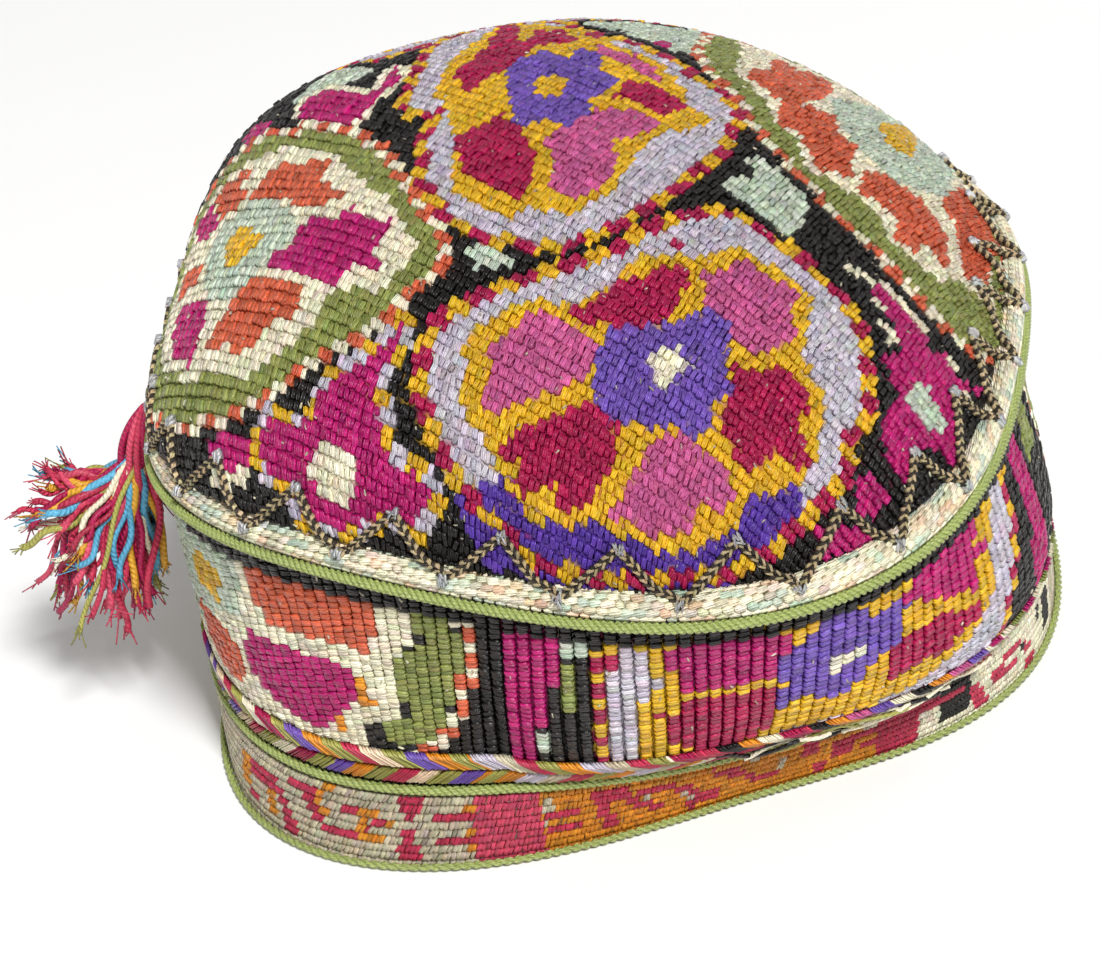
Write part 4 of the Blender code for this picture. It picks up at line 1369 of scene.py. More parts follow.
@dataclass
class Band:
    """The side: a cloth wall, and upright columns of stitches between the trim and the roll."""

    form: HatForm
    columns: int = 238
    pitch: float = 1.34
    low: float = 10.6
    high: float = 53.6
    rise: float = 13.0
    black_from: float = 45.7
    stitch_height: float = 0.0010
    stitch_base: float = -0.00035
    fleck_share: float = 0.02
    # painted shade: how much darker than its stitches the wall shows in the gaps between them
    painted_gap_shade: float = 0.65
    long_lap: float = 1.12
    wide_lap: float = 1.42

    def build(self) -> None:
        """Makes the wall and the stitches."""
        self.face = BandFace(self.form)
        self.make_cloth()
        self.make_stitches()

    def make_cloth(self) -> None:
        """The wall, from behind the tape to under the roll, in the chart's colours darkened as painted
        shade.
        """
        form = self.form
        around, rows = 240, 30
        azimuth = np.linspace(0, 2 * np.pi, around, endpoint=False)[:, None]
        share = np.linspace(0, 1, rows)[None]
        radius, rise = form.band_line(azimuth, share)
        out, up = form.band_outward(azimuth, share)
        out[:, -1], up[:, -1] = 1.0, 0.0
        top, height = form.tape_top_line(azimuth)
        hem = form.hem_line(azimuth)
        foot = hem + (top - hem) * form.hem_step / height - form.tape_wall - form.gap
        foot_rise = np.full_like(foot, form.hem_step)
        sink = 0.0005
        outer = turned(azimuth, radius - sink * out, rise - sink * up)
        inner = turned(azimuth, radius - form.band_wall * out, rise - form.band_wall * up)
        foot_out = turned(azimuth, foot, foot_rise)
        foot_in = turned(azimuth, foot - form.band_wall, foot_rise)
        section = np.concatenate([foot_out, outer, inner[:, ::-1], foot_in], 1)
        degrees = np.broadcast_to(np.degrees(azimuth), (around, rows))
        up_mm = np.broadcast_to(share * form.strip_width() / MM, (around, rows))
        numbers = band_threads(degrees.ravel(), up_mm.ravel())
        # painted shade: the wall takes the chart's colours darkened, so the gaps between stitches read as
        # thread in shadow
        colours = colours_of(numbers).reshape(around, rows, 3) * self.painted_gap_shade
        plain = np.broadcast_to(Silk.WHEAT.linear() * 0.8, (around, rows + 1, 3))
        shades = np.concatenate([plain[:, :1], colours, plain], 1)
        piece = closed_band("band_cloth", section, shades)
        dress(piece, ClothFinish("band ground cloth"), "band_stitch", "side_band")

    def make_stitches(self) -> None:
        """Columns of stitches, each stitch lying across its column and rising to the right."""
        rng = np.random.default_rng(SEED + 1)
        rows = math.ceil((self.high - self.low) / self.pitch)
        column, row = every_pair(np.arange(self.columns), np.arange(rows))
        step = 360 / self.columns
        b = self.low + (row + 0.5 * (column % 2)) * self.pitch
        a = column * step + self.lean(column * step, b)
        number = len(a)
        b = b + jitter(rng, number, 0.10)
        degree = self.form.seam_radius * math.radians(1) / MM
        half_long = 0.5 * step * degree * self.long_lap * (1 + jitter(rng, number, 0.06))
        half_wide = 0.5 * self.pitch * self.wide_lap * (1 + jitter(rng, number, 0.10))
        turn = np.radians(self.rise) + jitter(rng, number, 0.11)
        numbers = band_threads(a, b)
        numbers[b > self.black_from] = THREADS.index(Silk.BLACK)
        pile = Pile()
        pile.grains(
            self.face,
            (a, b),
            *slanted(half_long, half_wide, turn, degree),
            self.stitch_height * (1 + jitter(rng, number, 0.12)),
            self.stitch_base + jitter(rng, number, 0.00006),
            stitch_threads(colours_of(numbers), rng),
        )
        chosen = rng.random(number) < self.fleck_share
        base = self.stitch_base + 0.8 * self.stitch_height
        add_flecks(pile, self.face, a[chosen], b[chosen], degree, base, rng)
        piece = pile.make("band_stitches")
        dress(piece, ThreadFinish("band silk"), "band_stitch")

    def lean(self, azimuth: np.ndarray, up: np.ndarray) -> np.ndarray:
        """How far the columns lean: some way back at the foot where the band sags."""
        sag = np.exp(-(((azimuth - 250) / 18) ** 2)) + np.exp(-(((azimuth - 70) / 18) ** 2))
        return -4.0 * sag * np.clip((self.high - up) / (self.high - self.low), 0, 1)


def band_threads(azimuth: np.ndarray, up: np.ndarray) -> np.ndarray:
    """The band's thread numbers. Its chart covers half the hat, and the other half repeats it.

    The cloth is drawn up at the left front and sags at the right front. There the chart goes down
    and up again by two bell curves over the azimuth.
    """
    folded = (azimuth % BAND_REPEAT) + BAND_REPEAT
    drawn_up = 3.1 * np.exp(-(((folded - 243) / 19) ** 2)) * np.minimum(1, 0.4 + up / 65)
    sagged = 3.3 * np.exp(-(((folded - 291) / 14) ** 2)) * (1 - up / 65)
    return threads_at(BAND_CHART, Silk.BLACK, folded, up + drawn_up - sagged)


@dataclass
class Roll:
    """The padded edge roll: its pad, stitched over in short rows, and the lime cord under it."""

    form: HatForm
    columns: int = 292
    cord_angle: float = -45.0
    row_angles: tuple[float, ...] = (-32.0, -2.0, 28.0, 58.0, 88.0, 116.0)
    half_angle: float = 19.0
    long_lap: float = 1.36
    slant: float = 0.35
    mint_over: float = 0.95
    peach_under: float = -1.35
    stitch_height: float = 0.0010
    stitch_base: float = -0.00045

    def build(self) -> None:
        """Makes the pad, its stitches and the cord."""
        self.face = RollFace(self.form)
        self.make_pad()
        self.make_stitches()
        self.make_cord()

    def make_pad(self) -> None:
        """The oval section carried round the seam, swelling a little between stitches. Its cream is
        darkened as painted shade in the gaps between them.
        """
        azimuth = np.linspace(0, 2 * np.pi, 360, endpoint=False)[:, None]
        angle = np.linspace(0, 2 * np.pi, 24, endpoint=False)[None]
        swell = 0.00012 * np.sin(azimuth * 61) - 0.0003
        section = turned(azimuth, *self.form.roll_point(azimuth, angle, swell))
        # painted shade: cream darkened, for the gaps between the roll's stitches
        shades = np.broadcast_to(Silk.CREAM.linear() * 0.45, section.shape)
        piece = closed_band("roll_pad", section, shades)
        dress(piece, ClothFinish("roll ground cloth"), "roll_stitch", "edge_roll")

    def make_stitches(self) -> None:
        """Rows of stitches over the roll's outer face, cream with mint and peach."""
        rng = np.random.default_rng(SEED + 2)
        angles = np.array(self.row_angles)
        column, row = every_pair(np.arange(self.columns), np.arange(len(angles)))
        step = 360 / self.columns
        a = (column + 0.5 * (row % 2)) * step
        b = angles[row] + jitter(rng, len(a), 1.2)
        patch = np.sin(np.radians(a) * 23 + row * 1.1) + 0.8 * np.sin(np.radians(a) * 57 - row * 1.7)
        patch = patch + jitter(rng, len(a), 0.5)
        numbers = np.full(len(a), THREADS.index(Silk.CREAM))
        numbers[patch > self.mint_over] = THREADS.index(Silk.MINT)
        numbers[patch < self.peach_under] = THREADS.index(Silk.PEACH)
        half_long = 0.5 * step * self.long_lap * (1 + jitter(rng, len(a), 0.14))
        half_wide = self.half_angle * (1 + jitter(rng, len(a), 0.12))
        turn = self.slant
        degree = self.form.seam_radius * math.radians(1)
        angle_mm = self.form.roll_height / 2 * math.radians(1)
        pile = Pile()
        pile.grains(
            self.face,
            (a, b),
            (half_long * math.cos(turn), half_long * math.sin(turn) * degree / angle_mm),
            (-half_wide * math.sin(turn) * angle_mm / degree, half_wide * math.cos(turn)),
            self.stitch_height,
            self.stitch_base,
            stitch_threads(colours_of(numbers), rng),
        )
        dress(pile.make("roll_stitches"), ThreadFinish("roll silk"), "roll_stitch")

    def make_cord(self) -> None:
        """The lime cord that lies under the roll."""
        azimuth = np.linspace(0, 2 * np.pi, 1700, endpoint=False)
        room = self.form.roll_braid / 2 + self.form.gap
        angle = np.full_like(azimuth, math.radians(self.cord_angle))
        path = turned(azimuth, *self.form.roll_point(azimuth, angle, room))
        finish = ThreadFinish("lime silk")
        lime_cord("roll_cord", path, self.form.roll_braid, (3, 160), finish, "roll_braid")


def lime_cord(
    name: str, path: np.ndarray, diameter: float, twist: tuple[int, int], finish: ThreadFinish, node: str
) -> None:
    """A closed lime cord of strands that twist round its line.

    Each strand's middle goes round the line at a part of the cord's radius, and the strand is a
    round tube about it.

    Args:
        name: the piece's name.
        path: points round the hat, closed.
        diameter: of the whole cord, in metres.
        twist: how many strands, and how often each goes round on the whole way.
        finish: its finish.
        node: the solid that it replaces.
    """
    pile = Pile()
    (strands, turns), sides = twist, 7
    run = unit(np.roll(path, -1, 0) - np.roll(path, 1, 0))
    out = path * np.array([1.0, 1.0, 0.0])
    out = unit(out - run * (out * run).sum(-1, keepdims=True))
    up = np.cross(run, out)
    share = 1 / (1 + 1 / math.sin(math.pi / strands))
    strand_radius = diameter / 2 * share * 1.18
    offset = diameter / 2 - strand_radius
    around = np.arange(sides) * 2 * np.pi / sides
    along = np.arange(len(path)) / len(path)
    for number in range(strands):
        turn = 2 * np.pi * (turns * along + number / strands)
        middle = path + offset * (np.cos(turn)[:, None] * out + np.sin(turn)[:, None] * up)
        ring = np.cos(around)[None, :, None] * out[:, None] + np.sin(around)[None, :, None] * up[:, None]
        rings = middle[:, None] + strand_radius * ring
        pile.tube(rings, Silk.LIME.linear(), closed=True)
    dress(pile.make(name), finish, "lime_cord", node)


@dataclass
class ZigzagBraid:
    """The couched chain braid: a zigzag over the roll, tied down by pale stitches at its knots."""

    form: HatForm
    pitch: float = 0.0190
    rise: float = 0.0120
    start: float = 0.0036
    lean: float = 0.76
    first_azimuth: float = -2.7
    grain_pitch: float = 0.92
    leg_points: int = 14

    def build(self) -> None:
        """Makes the braid and the stitches that tie it."""
        self.count = round(2 * math.pi * self.form.seam_radius / self.pitch)
        line, normals = self.line()
        self.make_braid(PathFace(line, normals))
        self.make_ties(line, normals)

    def over_seam(self, azimuth: np.ndarray, distance: np.ndarray) -> np.ndarray:
        """Points a distance up from the seam, over the roll and on up the crown."""
        samples = 60
        found = np.zeros((len(azimuth), 3))
        roll_angle = np.linspace(-0.25, 0.36, samples) * np.pi
        climb = np.linspace(0.0, 0.5, 4 * samples)
        for place, (turn, reach) in enumerate(zip(azimuth, distance)):
            roll = turned(turn, *self.form.roll_point(turn, roll_angle, 0.0))
            crown = self.form.crown_point(np.full_like(climb, turn), climb)
            crown = crown[crown[:, 2] > roll[-1, 2] + self.form.roll_height / 4]
            way = np.concatenate([roll, crown])
            length = np.concatenate([[0], np.cumsum(np.linalg.norm(np.diff(way, axis=0), axis=1))])
            found[place] = [np.interp(reach, length, way[:, axis]) for axis in range(3)]
        return found

    def line(self) -> tuple[np.ndarray, np.ndarray]:
        """The zigzag's line on the cloth and the direction off it."""
        leg = np.repeat(np.arange(2 * self.count), self.leg_points)
        share = np.tile(np.arange(self.leg_points) / self.leg_points, 2 * self.count)
        rising = leg % 2 == 0
        climb = np.where(rising, share, 1 - share)
        run = np.where(rising, share * self.lean, self.lean + share * (1 - self.lean))
        azimuth = math.radians(self.first_azimuth) + (leg // 2 + run) * 2 * math.pi / self.count
        distance = self.start + climb * self.rise
        step = 0.0006
        line = self.over_seam(azimuth, distance)
        up = self.over_seam(azimuth, distance + step) - self.over_seam(azimuth, distance - step)
        along = np.stack([-np.sin(azimuth), np.cos(azimuth), 0 * azimuth], -1)
        normals = unit(np.cross(along, up))
        return np.concatenate([line, line[:1]]), np.concatenate([normals, normals[:1]])

    def make_braid(self, face: PathFace) -> None:
        """Two rows of slanting grains, dark and light by turns."""
        rng = np.random.default_rng(SEED + 3)
        number = int(face.length[-1] // self.grain_pitch)
        place = (np.arange(number) + 0.5) * face.length[-1] / number
        pile = Pile()
        for side in (-1, 1):
            a = place + (0.25 * side + 0.5) * self.grain_pitch + jitter(rng, number, 0.06)
            light = (np.arange(number) + (side > 0)) % 2 == 0
            colour = np.where(light[:, None], Silk.BEIGE.linear(), Silk.UMBER.linear())
            slant = -side * 0.42 + jitter(rng, number, 0.06)
            pile.grains(
                face,
                (a, side * 0.40 + jitter(rng, number, 0.05)),
                *slanted(0.95, 0.34, slant),
                0.00110,
                0.0001,
                stitch_threads(colour, rng, 0.1),
            )
        finish = ThreadFinish("chain braid thread", roughness=0.6, coat=0.1)
        dress(pile.make("couched_chain"), finish, "couched_thread", "couched_braid")

    def make_ties(self, line: np.ndarray, normals: np.ndarray) -> None:
        """A few strands across the braid at each knot."""
        rng = np.random.default_rng(SEED + 4)
        knots = np.arange(2 * self.count) * self.leg_points
        strands = 5
        azimuth = np.arctan2(line[knots, 1], line[knots, 0])
        along = np.stack([-np.sin(azimuth), np.cos(azimuth), 0 * azimuth], -1)
        pile = Pile()
        for number, knot in enumerate(knots):
            up = np.cross(normals[knot], along[number])
            face = PathFace(
                np.stack([line[knot] - 0.004 * up, line[knot], line[knot] + 0.004 * up]),
                np.stack([normals[knot]] * 3),
            )
            shift = np.linspace(-0.6, 0.6, strands) + jitter(rng, strands, 0.12)
            lean = jitter(rng, strands, 0.45)
            half = rng.uniform(0.9, 1.5, strands)
            colour = np.tile(Silk.ASH.linear(), (strands, 1))
            pile.grains(
                face,
                (4.0 + jitter(rng, strands, 0.3), shift),
                *slanted(half, 0.24, lean),
                0.0015,
                0.0001,
                stitch_threads(colour, rng, 0.1),
            )
        dress(pile.make("couching_ties"), ThreadFinish("pale couching silk"), "couched_thread")


@dataclass
class Trims:
    """What lies below the band: satin chevrons, the lime cords and the woven tape."""

    form: HatForm
    thread_pitch: float = 0.62
    thread_reach: float = 5.6
    block: float = 4.2
    loop_rows: int = 9
    loops: int = 640
    loose: int = 9

    def build(self) -> None:
        """Makes the chevrons, the cords and the tape."""
        self.make_chevron_ground()
        self.make_chevrons()
        self.make_cords()
        self.make_tape_cloth()
        self.make_tape_loops()
        self.make_loose_threads()

    def make_chevron_ground(self) -> None:
        """A flat strip under the satin threads, in red darkened as painted shade between them."""
        azimuth = np.linspace(0, 360, 360, endpoint=False)[:, None]
        width = self.form.trim_width / MM
        up = np.array([[0.1, 0.1, 0.5, 0.9, 0.9, 0.5]]) * width
        lift = np.array([[0.3, 0.6, 0.8, 0.6, 0.3, 0.3]]) * MM
        section = TrimFace(self.form).at(azimuth + 0 * up, up + 0 * azimuth, lift + 0 * azimuth)
        # painted shade: red darkened, for the gaps between the satin threads
        shades = np.broadcast_to(Silk.RED.linear() * 0.3, section.shape)
        piece = closed_band("chevron_ground", section, shades)
        dress(piece, ClothFinish("chevron ground cloth"), "satin_trim", "chevron_trim")

    def make_chevrons(self) -> None:
        """Two rows of slanting satin threads that meet in points to the right, in short blocks."""
        rng = np.random.default_rng(SEED + 5)
        degree = self.form.hem_radius * math.radians(1) / MM
        number = int(360 * degree / self.thread_pitch)
        place = np.arange(number) * 360 / number
        width = self.form.trim_width / MM
        pile = Pile()
        for side in (-1, 1):
            block = ((place * degree + (side + 1) * 0.25 * self.block) // self.block).astype(int)
            numbers = chevron_threads(place, block, side)
            a = place + jitter(rng, number, 0.05)
            b = width * (0.5 + side * 0.25) + jitter(rng, number, 0.08)
            half = self.thread_reach / 2 * (1 + jitter(rng, number, 0.05))
            rise = -side * width * 0.25 * 1.08
            length = math.hypot(self.thread_reach / 2, rise)
            across = 0.5 * self.thread_pitch * 0.9
            pile.grains(
                TrimFace(self.form),
                (a, b),
                (half / degree, np.full(number, rise)),
                (
                    np.full(number, -across * rise / length / degree),
                    np.full(number, across * self.thread_reach / 2 / length),
                ),
                0.0013 * (1 + jitter(rng, number, 0.08)),
                0.0005,
                stitch_threads(colours_of(numbers), rng, 0.09),
            )
        finish = ThreadFinish("satin silk", roughness=0.36, strands=2.0, twist=0.2)
        dress(pile.make("satin_chevrons"), finish, "satin_trim")

    def make_cords(self) -> None:
        """The cord above the tape and the thin one along the hem."""
        form = self.form
        azimuth = np.linspace(0, 2 * np.pi, 1500, endpoint=False)
        corner = form.corner_rise(azimuth, form.tape_cord)
        room = form.tape_cord / 2 + form.gap
        path = turned(azimuth, *form.off_band(azimuth, corner, room))
        finish = ThreadFinish("tape cord silk")
        lime_cord("tape_cord", path, form.tape_cord, (3, 125), finish, "tape_top_cord")
        beside = form.hem_cord / 2 + form.gap
        hem = form.hem_line(azimuth)
        top, height = form.tape_top_line(azimuth)
        slope = ((hem + top) / 2 + form.tape_wall / 6 - hem) / (height / 2)
        radius = hem + beside * (slope + np.sqrt(1 + slope**2))
        path = turned(azimuth, radius, np.full_like(radius, beside))
        lime_cord("hem_twist", path, form.hem_cord, (2, 150), ThreadFinish("hem cord silk"), "hem_cord")

    def make_tape_cloth(self) -> None:
        """The tape's ground: a thin leaning strip with its foot on the hem plane, in wheat darkened as
        painted shade between the loops.
        """
        azimuth = np.linspace(0, 360, 360, endpoint=False)[:, None]
        up = np.array([[0.0, 0.25, 0.5, 0.75, 1.0]]) * self.form.tape_width / MM
        face = TapeFace(self.form)
        outer = face.at(azimuth + 0 * up, up + 0 * azimuth, -0.0004)
        inner = face.at(azimuth + 0 * up, up[:, ::-1] + 0 * azimuth, -self.form.tape_wall)
        section = np.concatenate([outer, inner], 1)
        section[..., 2] = np.maximum(section[..., 2], 0)
        # painted shade: wheat darkened, for the gaps between the tape's loops
        shades = np.broadcast_to(Silk.WHEAT.linear() * 0.5, section.shape)
        piece = closed_band("tape_cloth", section, shades)
        dress(piece, ClothFinish("tape ground cloth"), "woven_tape", "edge_tape")

    def make_tape_loops(self) -> None:
        """Rows of small loops over the tape's outer face."""
        rng = np.random.default_rng(SEED + 6)
        column, row = every_pair(np.arange(self.loops), np.arange(self.loop_rows))
        pitch = self.form.tape_width / MM / self.loop_rows
        step = 360 / self.loops
        a = (column + 0.5 * (row % 2)) * step
        b = (row + 0.5) * pitch
        number = len(a)
        degree = self.form.hem_radius * math.radians(1) / MM
        turn = 1.15 + jitter(rng, number, 0.13)
        half_long = 0.5 * pitch * 1.25 * (1 + jitter(rng, number, 0.10))
        half_wide = 0.5 * step * degree * 1.30 * (1 + jitter(rng, number, 0.12))
        pile = Pile()
        pile.grains(
            TapeFace(self.form),
            (a + jitter(rng, number, 0.05), b + jitter(rng, number, 0.05)),
            *slanted(half_long, half_wide, turn, degree),
            0.0010,
            -0.0006,
            stitch_threads(colours_of(tape_threads(a, b)), rng),
        )
        dress(pile.make("tape_loops"), ThreadFinish("tape silk", roughness=0.55), "woven_tape")

    def make_loose_threads(self) -> None:
        """Cream, black and olive threads that have come loose along the trim at the right front."""
        rng = np.random.default_rng(SEED + 7)
        pile = Pile()
        share = np.linspace(0, 1, 80)
        for number in range(self.loose):
            azimuth = rng.uniform(276, 300) + share * rng.uniform(9, 20)
            up = 2.4 + 1.9 * np.sin(share * rng.uniform(3, 8) + rng.uniform(0, 6))
            lift = (2.0 + 0.6 * np.sin(share * rng.uniform(4, 9) + number)) * MM
            path = TrimFace(self.form).at(azimuth, up, lift)
            thread = (Silk.CREAM, Silk.BLACK, Silk.CREAM, Silk.OLIVE)[number % 4]
            pile.tube(round_rings(path, np.full(len(path), 0.00042), 7), thread.linear(), False)
        dress(pile.make("loose_threads"), ThreadFinish("loose thread", strands=2.0), "satin_trim")


def chevron_threads(azimuth: np.ndarray, block: np.ndarray, side: int) -> np.ndarray:
    """Thread numbers of the chevrons: each stretch of the trim has its own few colours."""
    stretches = (
        (0, (Silk.GREEN, Silk.MAGENTA, Silk.PURPLE, Silk.CREAM)),
        (205, (Silk.RED, Silk.OLIVE, Silk.CREAM, Silk.CRIMSON, Silk.OLIVE, Silk.PURPLE, Silk.PEACH)),
        (224, (Silk.OLIVE, Silk.RED, Silk.PEACH, Silk.OLIVE, Silk.PURPLE, Silk.ORANGE)),
        (247, (Silk.ORANGE, Silk.LILAC, Silk.WHEAT, Silk.RED, Silk.OLIVE)),
        (272, (Silk.CRIMSON, Silk.RED, Silk.BLACK, Silk.ORANGE, Silk.CREAM)),
        (290, (Silk.CREAM, Silk.BLACK, Silk.ORANGE, Silk.PINK, Silk.PURPLE)),
        (315, (Silk.GREEN, Silk.MAGENTA, Silk.CREAM)),
    )
    numbers = np.zeros(len(azimuth), int)
    for start, threads in stretches:
        choice = np.array([THREADS.index(thread) for thread in threads])
        here = azimuth >= start
        numbers[here] = choice[(block[here] + (side > 0)) % len(choice)]
    return numbers


def tape_threads(azimuth: np.ndarray, up: np.ndarray) -> np.ndarray:
    """Thread numbers of the tape."""
    return threads_at(TAPE_CHART, Silk.WHEAT, azimuth % 180 + 180, up)


# The tape's chart: azimuth in degrees, and millimetres up from the hem. It repeats half a turn on.
TAPE_CHART = areas("""
    ROSE 244.9,0 253.5,15
    ORANGE 253.4,0 302,15
    RED 302,0 308.4,15
    CREAM 308.2,0 340,15
    BLACK 311.2,3.8 316.5,13.4
    ORANGE 210.2,5.4 212.6,11.4
    RED 212.4,8.8 218.2,8.4 219.6,9.6 218,11 212.4,11
    ORANGE 215.6,9 217.6,9 219,2.6 217.4,2.6
    RED 218.6,8.2 220.2,8.2 222.4,2 220,2
    RED 212.2,2.6 214.8,5
    RED 220,11.8 225.4,14
    RED 221.6,12 224.4,12 226.4,6.6 224.4,6.6
    ORANGE 225.2,12.6 226.8,14.4
    ORANGE 224.4,9.8 225.4,12.8
    ORANGE 225.2,7.8 226.8,10
    RED 225.6,5.2 230.6,7.2
    RED 228,9.8 230.8,11.8
    ORANGE 230.6,5.4 231.6,12
    ORANGE 231.6,9.8 233.2,11.4
    RED 231.4,7.2 234.4,8.2 234.4,9.8 231.4,8.8
    ORANGE 234.2,8.2 235.2,10
    ORANGE 231.8,5 233.8,7.4
    RED 235.6,12.2 238.6,14.4
    RED 236.3,9.6 237.8,12.4
    RED 236.1,4.8 237.6,7.8
    RED 235.6,2.4 238.4,5
    RED 239.8,9.4 245,11.4
    RED 240,5.2 245,7
    ORANGE 243.7,11.4 245,13.6
    ORANGE 243.7,7 245,8.8
    ORANGE 243.7,2.8 245,4.6
    WHEAT 253.5,10.4 254.9,12.6
    WHEAT 253.5,6.4 254.2,8.2
    RED 253.5,8.2 258.4,10.2
    RED 253.5,4.6 258.4,6.4
    RED 260,10.8 265,12.8
    RED 260.4,7.4 262,10.8
    RED 260.8,4 262.8,7
    RED 264,9 265.4,9.8 269.4,6 268.2,4.8
    WHEAT 266.8,8.4 267.8,10
    RED 266,10 271,11.6
    RED 270.6,11.4 270.6,9.4 274.4,6.6 275.4,8
    WHEAT 271.4,8.8 272.4,8.8 274.4,4.2 273.2,4.2
    RED 272.6,2 274.2,4.8
    RED 274.2,4 277.6,6
    RED 276.8,12.6 280.6,11 282.2,8 280.4,8 276.8,10.6
    WHEAT 282.4,11 283.8,12.6
    RED 281.2,7.8 282.4,7.8 286.8,6.6 286.4,4.8 283.4,4.8
    WHEAT 286.6,6.8 287.9,10.4
    RED 290.4,9 292.8,12.6
    RED 292.4,2.2 294.4,5.2
    RED 295,5.8 298.2,9.2
    WHEAT 299.6,10.6 301.8,12.6
    RED 298.4,8.8 302,10.6
    RED 299.4,4.4 302,6.4
    RED 310.4,8.8 315.6,9.9
    RED 309.4,6 314.2,7.2
    CREAM 309.2,3.8 311.4,9
    RED 308.2,9 311.4,13.6
    RED 316.4,11.2 320.4,13.8
    RED 316.2,8.2 318,8.2 320.4,1.6 317.4,1.6
    RED 320.6,5.8 323.4,8
    RED 323,10.6 326.6,10.4 330.6,5 328.6,5 326,8.8 323,9
    BLACK 327,6 328.4,8.6
    RED 323.2,4.8 326.4,6.8
    RED 328.4,0 331.2,3.4
    BLACK 332.6,8.2 333.8,11
    BLACK 335.2,4 338.4,11.8
""")


@dataclass
class Tassel:
    """The loose tassel at the left of the seam, and the short twisted cord that it hangs on."""

    form: HatForm
    length: float = 0.0380
    knot: float = 0.0064
    cord: float = 0.0024
    lock_width: float = 0.0044
    azimuth: float = 188.0
    strands: int = 15
    yarn: float = 0.0013
    hairs: int = 6
    loops: int = 9
    locks: tuple[tuple[float, ...], ...] = (
        (0.68, 0.06, 0.28, 0.75),
        (0.56, -0.22, 0.16, 0.75),
        (0.50, 0.16, 0.52, 1.00),
        (0.68, -0.05, 0.80, 1.05),
        (0.34, 0.26, 0.86, 0.95),
        (0.20, -0.16, 0.94, 1.15),
        (0.05, 0.12, 0.88, 1.10),
        (0.02, -0.42, 0.62, 0.90),
        (0.08, -0.20, 0.72, 1.00),
    )

    def build(self) -> None:
        """Makes the tassel's yarns and the cord."""
        azimuth = math.radians(self.azimuth)
        form = self.form
        seat = turned(azimuth, *form.roll_point(azimuth, math.radians(12), self.cord / 2 + form.gap))
        self.out = np.array([math.cos(azimuth), math.sin(azimuth), 0.0])
        self.along = np.array([-math.sin(azimuth), math.cos(azimuth), 0.0])
        self.down = np.array([0.0, 0.0, -1.0])
        self.seat = np.array([float(value) for value in seat])
        self.middle = self.seat + self.out * 0.6 * self.knot + self.down * 1.7 * self.knot
        self.make_yarns()
        self.make_cord()

    def make_yarns(self) -> None:
        """Each lock is a bundle of plied yarns that part towards the tip and fray there."""
        rng = np.random.default_rng(SEED + 8)
        reds = (Silk.RED, Silk.CRIMSON, Silk.RED, Silk.ROSE)
        accents = (Silk.BLUE, Silk.OLIVE, Silk.GOLD, Silk.CREAM, Silk.BLUE)
        pile = Pile()
        share = np.linspace(0, 1, 36)[:, None]
        for number, (out, along, down, width) in enumerate(self.locks):
            tip = self.middle + self.length * (out * self.out + along * self.along + down * self.down)
            halfway = 0.55 * out * self.out + 0.5 * along * self.along + 0.25 * self.down
            bend = self.middle + self.length * halfway
            line = (1 - share) ** 2 * self.middle + 2 * share * (1 - share) * bend + share**2 * tip
            run = unit(np.gradient(line, axis=0))
            side = unit(np.cross(run, self.along + 0.3 * self.out))
            other = np.cross(run, side)
            for strand in range(self.strands):
                twist = rng.uniform(0, 2 * np.pi) + share * rng.uniform(-2.0, 2.6)
                radius = math.sqrt(rng.uniform(0.10, 1.0)) * width * self.lock_width / 2
                radius = radius * (0.6 + 1.7 * share)
                curl = 0.0015 * share * np.sin(share * rng.uniform(7, 15) + rng.uniform(0, 6))
                sway = 0.0015 * share * np.cos(share * rng.uniform(7, 15) + rng.uniform(0, 6))
                path = line + (radius * np.cos(twist) + curl) * side
                path = path + (radius * np.sin(twist) + sway) * other
                path = self.middle + (path - self.middle) * rng.uniform(0.60, 1.03)
                threads, pick = (accents, number + strand) if strand % 3 == 2 else (reds, strand)
                thread = threads[pick % len(threads)]
                shade = np.clip(thread.linear() * (1 + rng.normal(0, 0.12)), 0, 1)
                thick = self.yarn * rng.uniform(0.8, 1.25)
                pile.tube(round_rings(path, np.full(len(path), thick / 2), 7), shade, False)
                self.add_fray(pile, path, thick, shade, rng)
        self.add_loops(pile, rng)
        finish = ThreadFinish("tassel yarn", roughness=0.5, strands=2.0, twist=0.9)
        dress(pile.make("tassel_yarns"), finish, "tassel_yarn", "tassel")

    def add_fray(
        self, pile: Pile, path: np.ndarray, thick: float, shade: np.ndarray, rng: np.random.Generator
    ) -> None:
        """Fine hairs that splay from a yarn's cut end."""
        share = np.linspace(0, 1, 6)[:, None]
        run = unit(path[-1] - path[-4])
        for _ in range(self.hairs):
            splay = rng.normal(0, 0.34, 3)
            place = path[-2] + rng.normal(0, thick * 0.22, 3)
            hair = place + rng.uniform(0.0012, 0.0038) * (share * run + share**1.6 * splay)
            colour = np.clip(shade * rng.uniform(0.8, 1.3), 0, 1)
            pile.tube(round_rings(hair, np.full(6, 0.00016), 4), colour, False)

    def add_loops(self, pile: Pile, rng: np.random.Generator) -> None:
        """Red cords that loop out of the tassel's head and back, and hide its knot."""
        share = np.linspace(0, 1, 32)[:, None]
        for number in range(self.loops):
            angle = math.pi * (number / (self.loops - 1) - 0.5) * 1.2
            sideways = math.sin(angle) * self.along + math.cos(angle) * self.out
            reach = self.knot * rng.uniform(0.45, 0.85)
            fall = self.knot * rng.uniform(0.6, 1.7)
            middle = self.seat * (1 - share) + self.middle * share
            bulge = np.sin(np.pi * share)
            path = middle + bulge * reach * sideways + fall * np.sin(np.pi * share**2) * self.down
            path = path + 0.0007 * np.sin(share * rng.uniform(5, 9)) * self.along
            thread = (Silk.RED, Silk.CRIMSON, Silk.ROSE)[number % 3]
            pile.tube(round_rings(path, np.full(32, self.yarn * 0.55), 8), thread.linear(), False)

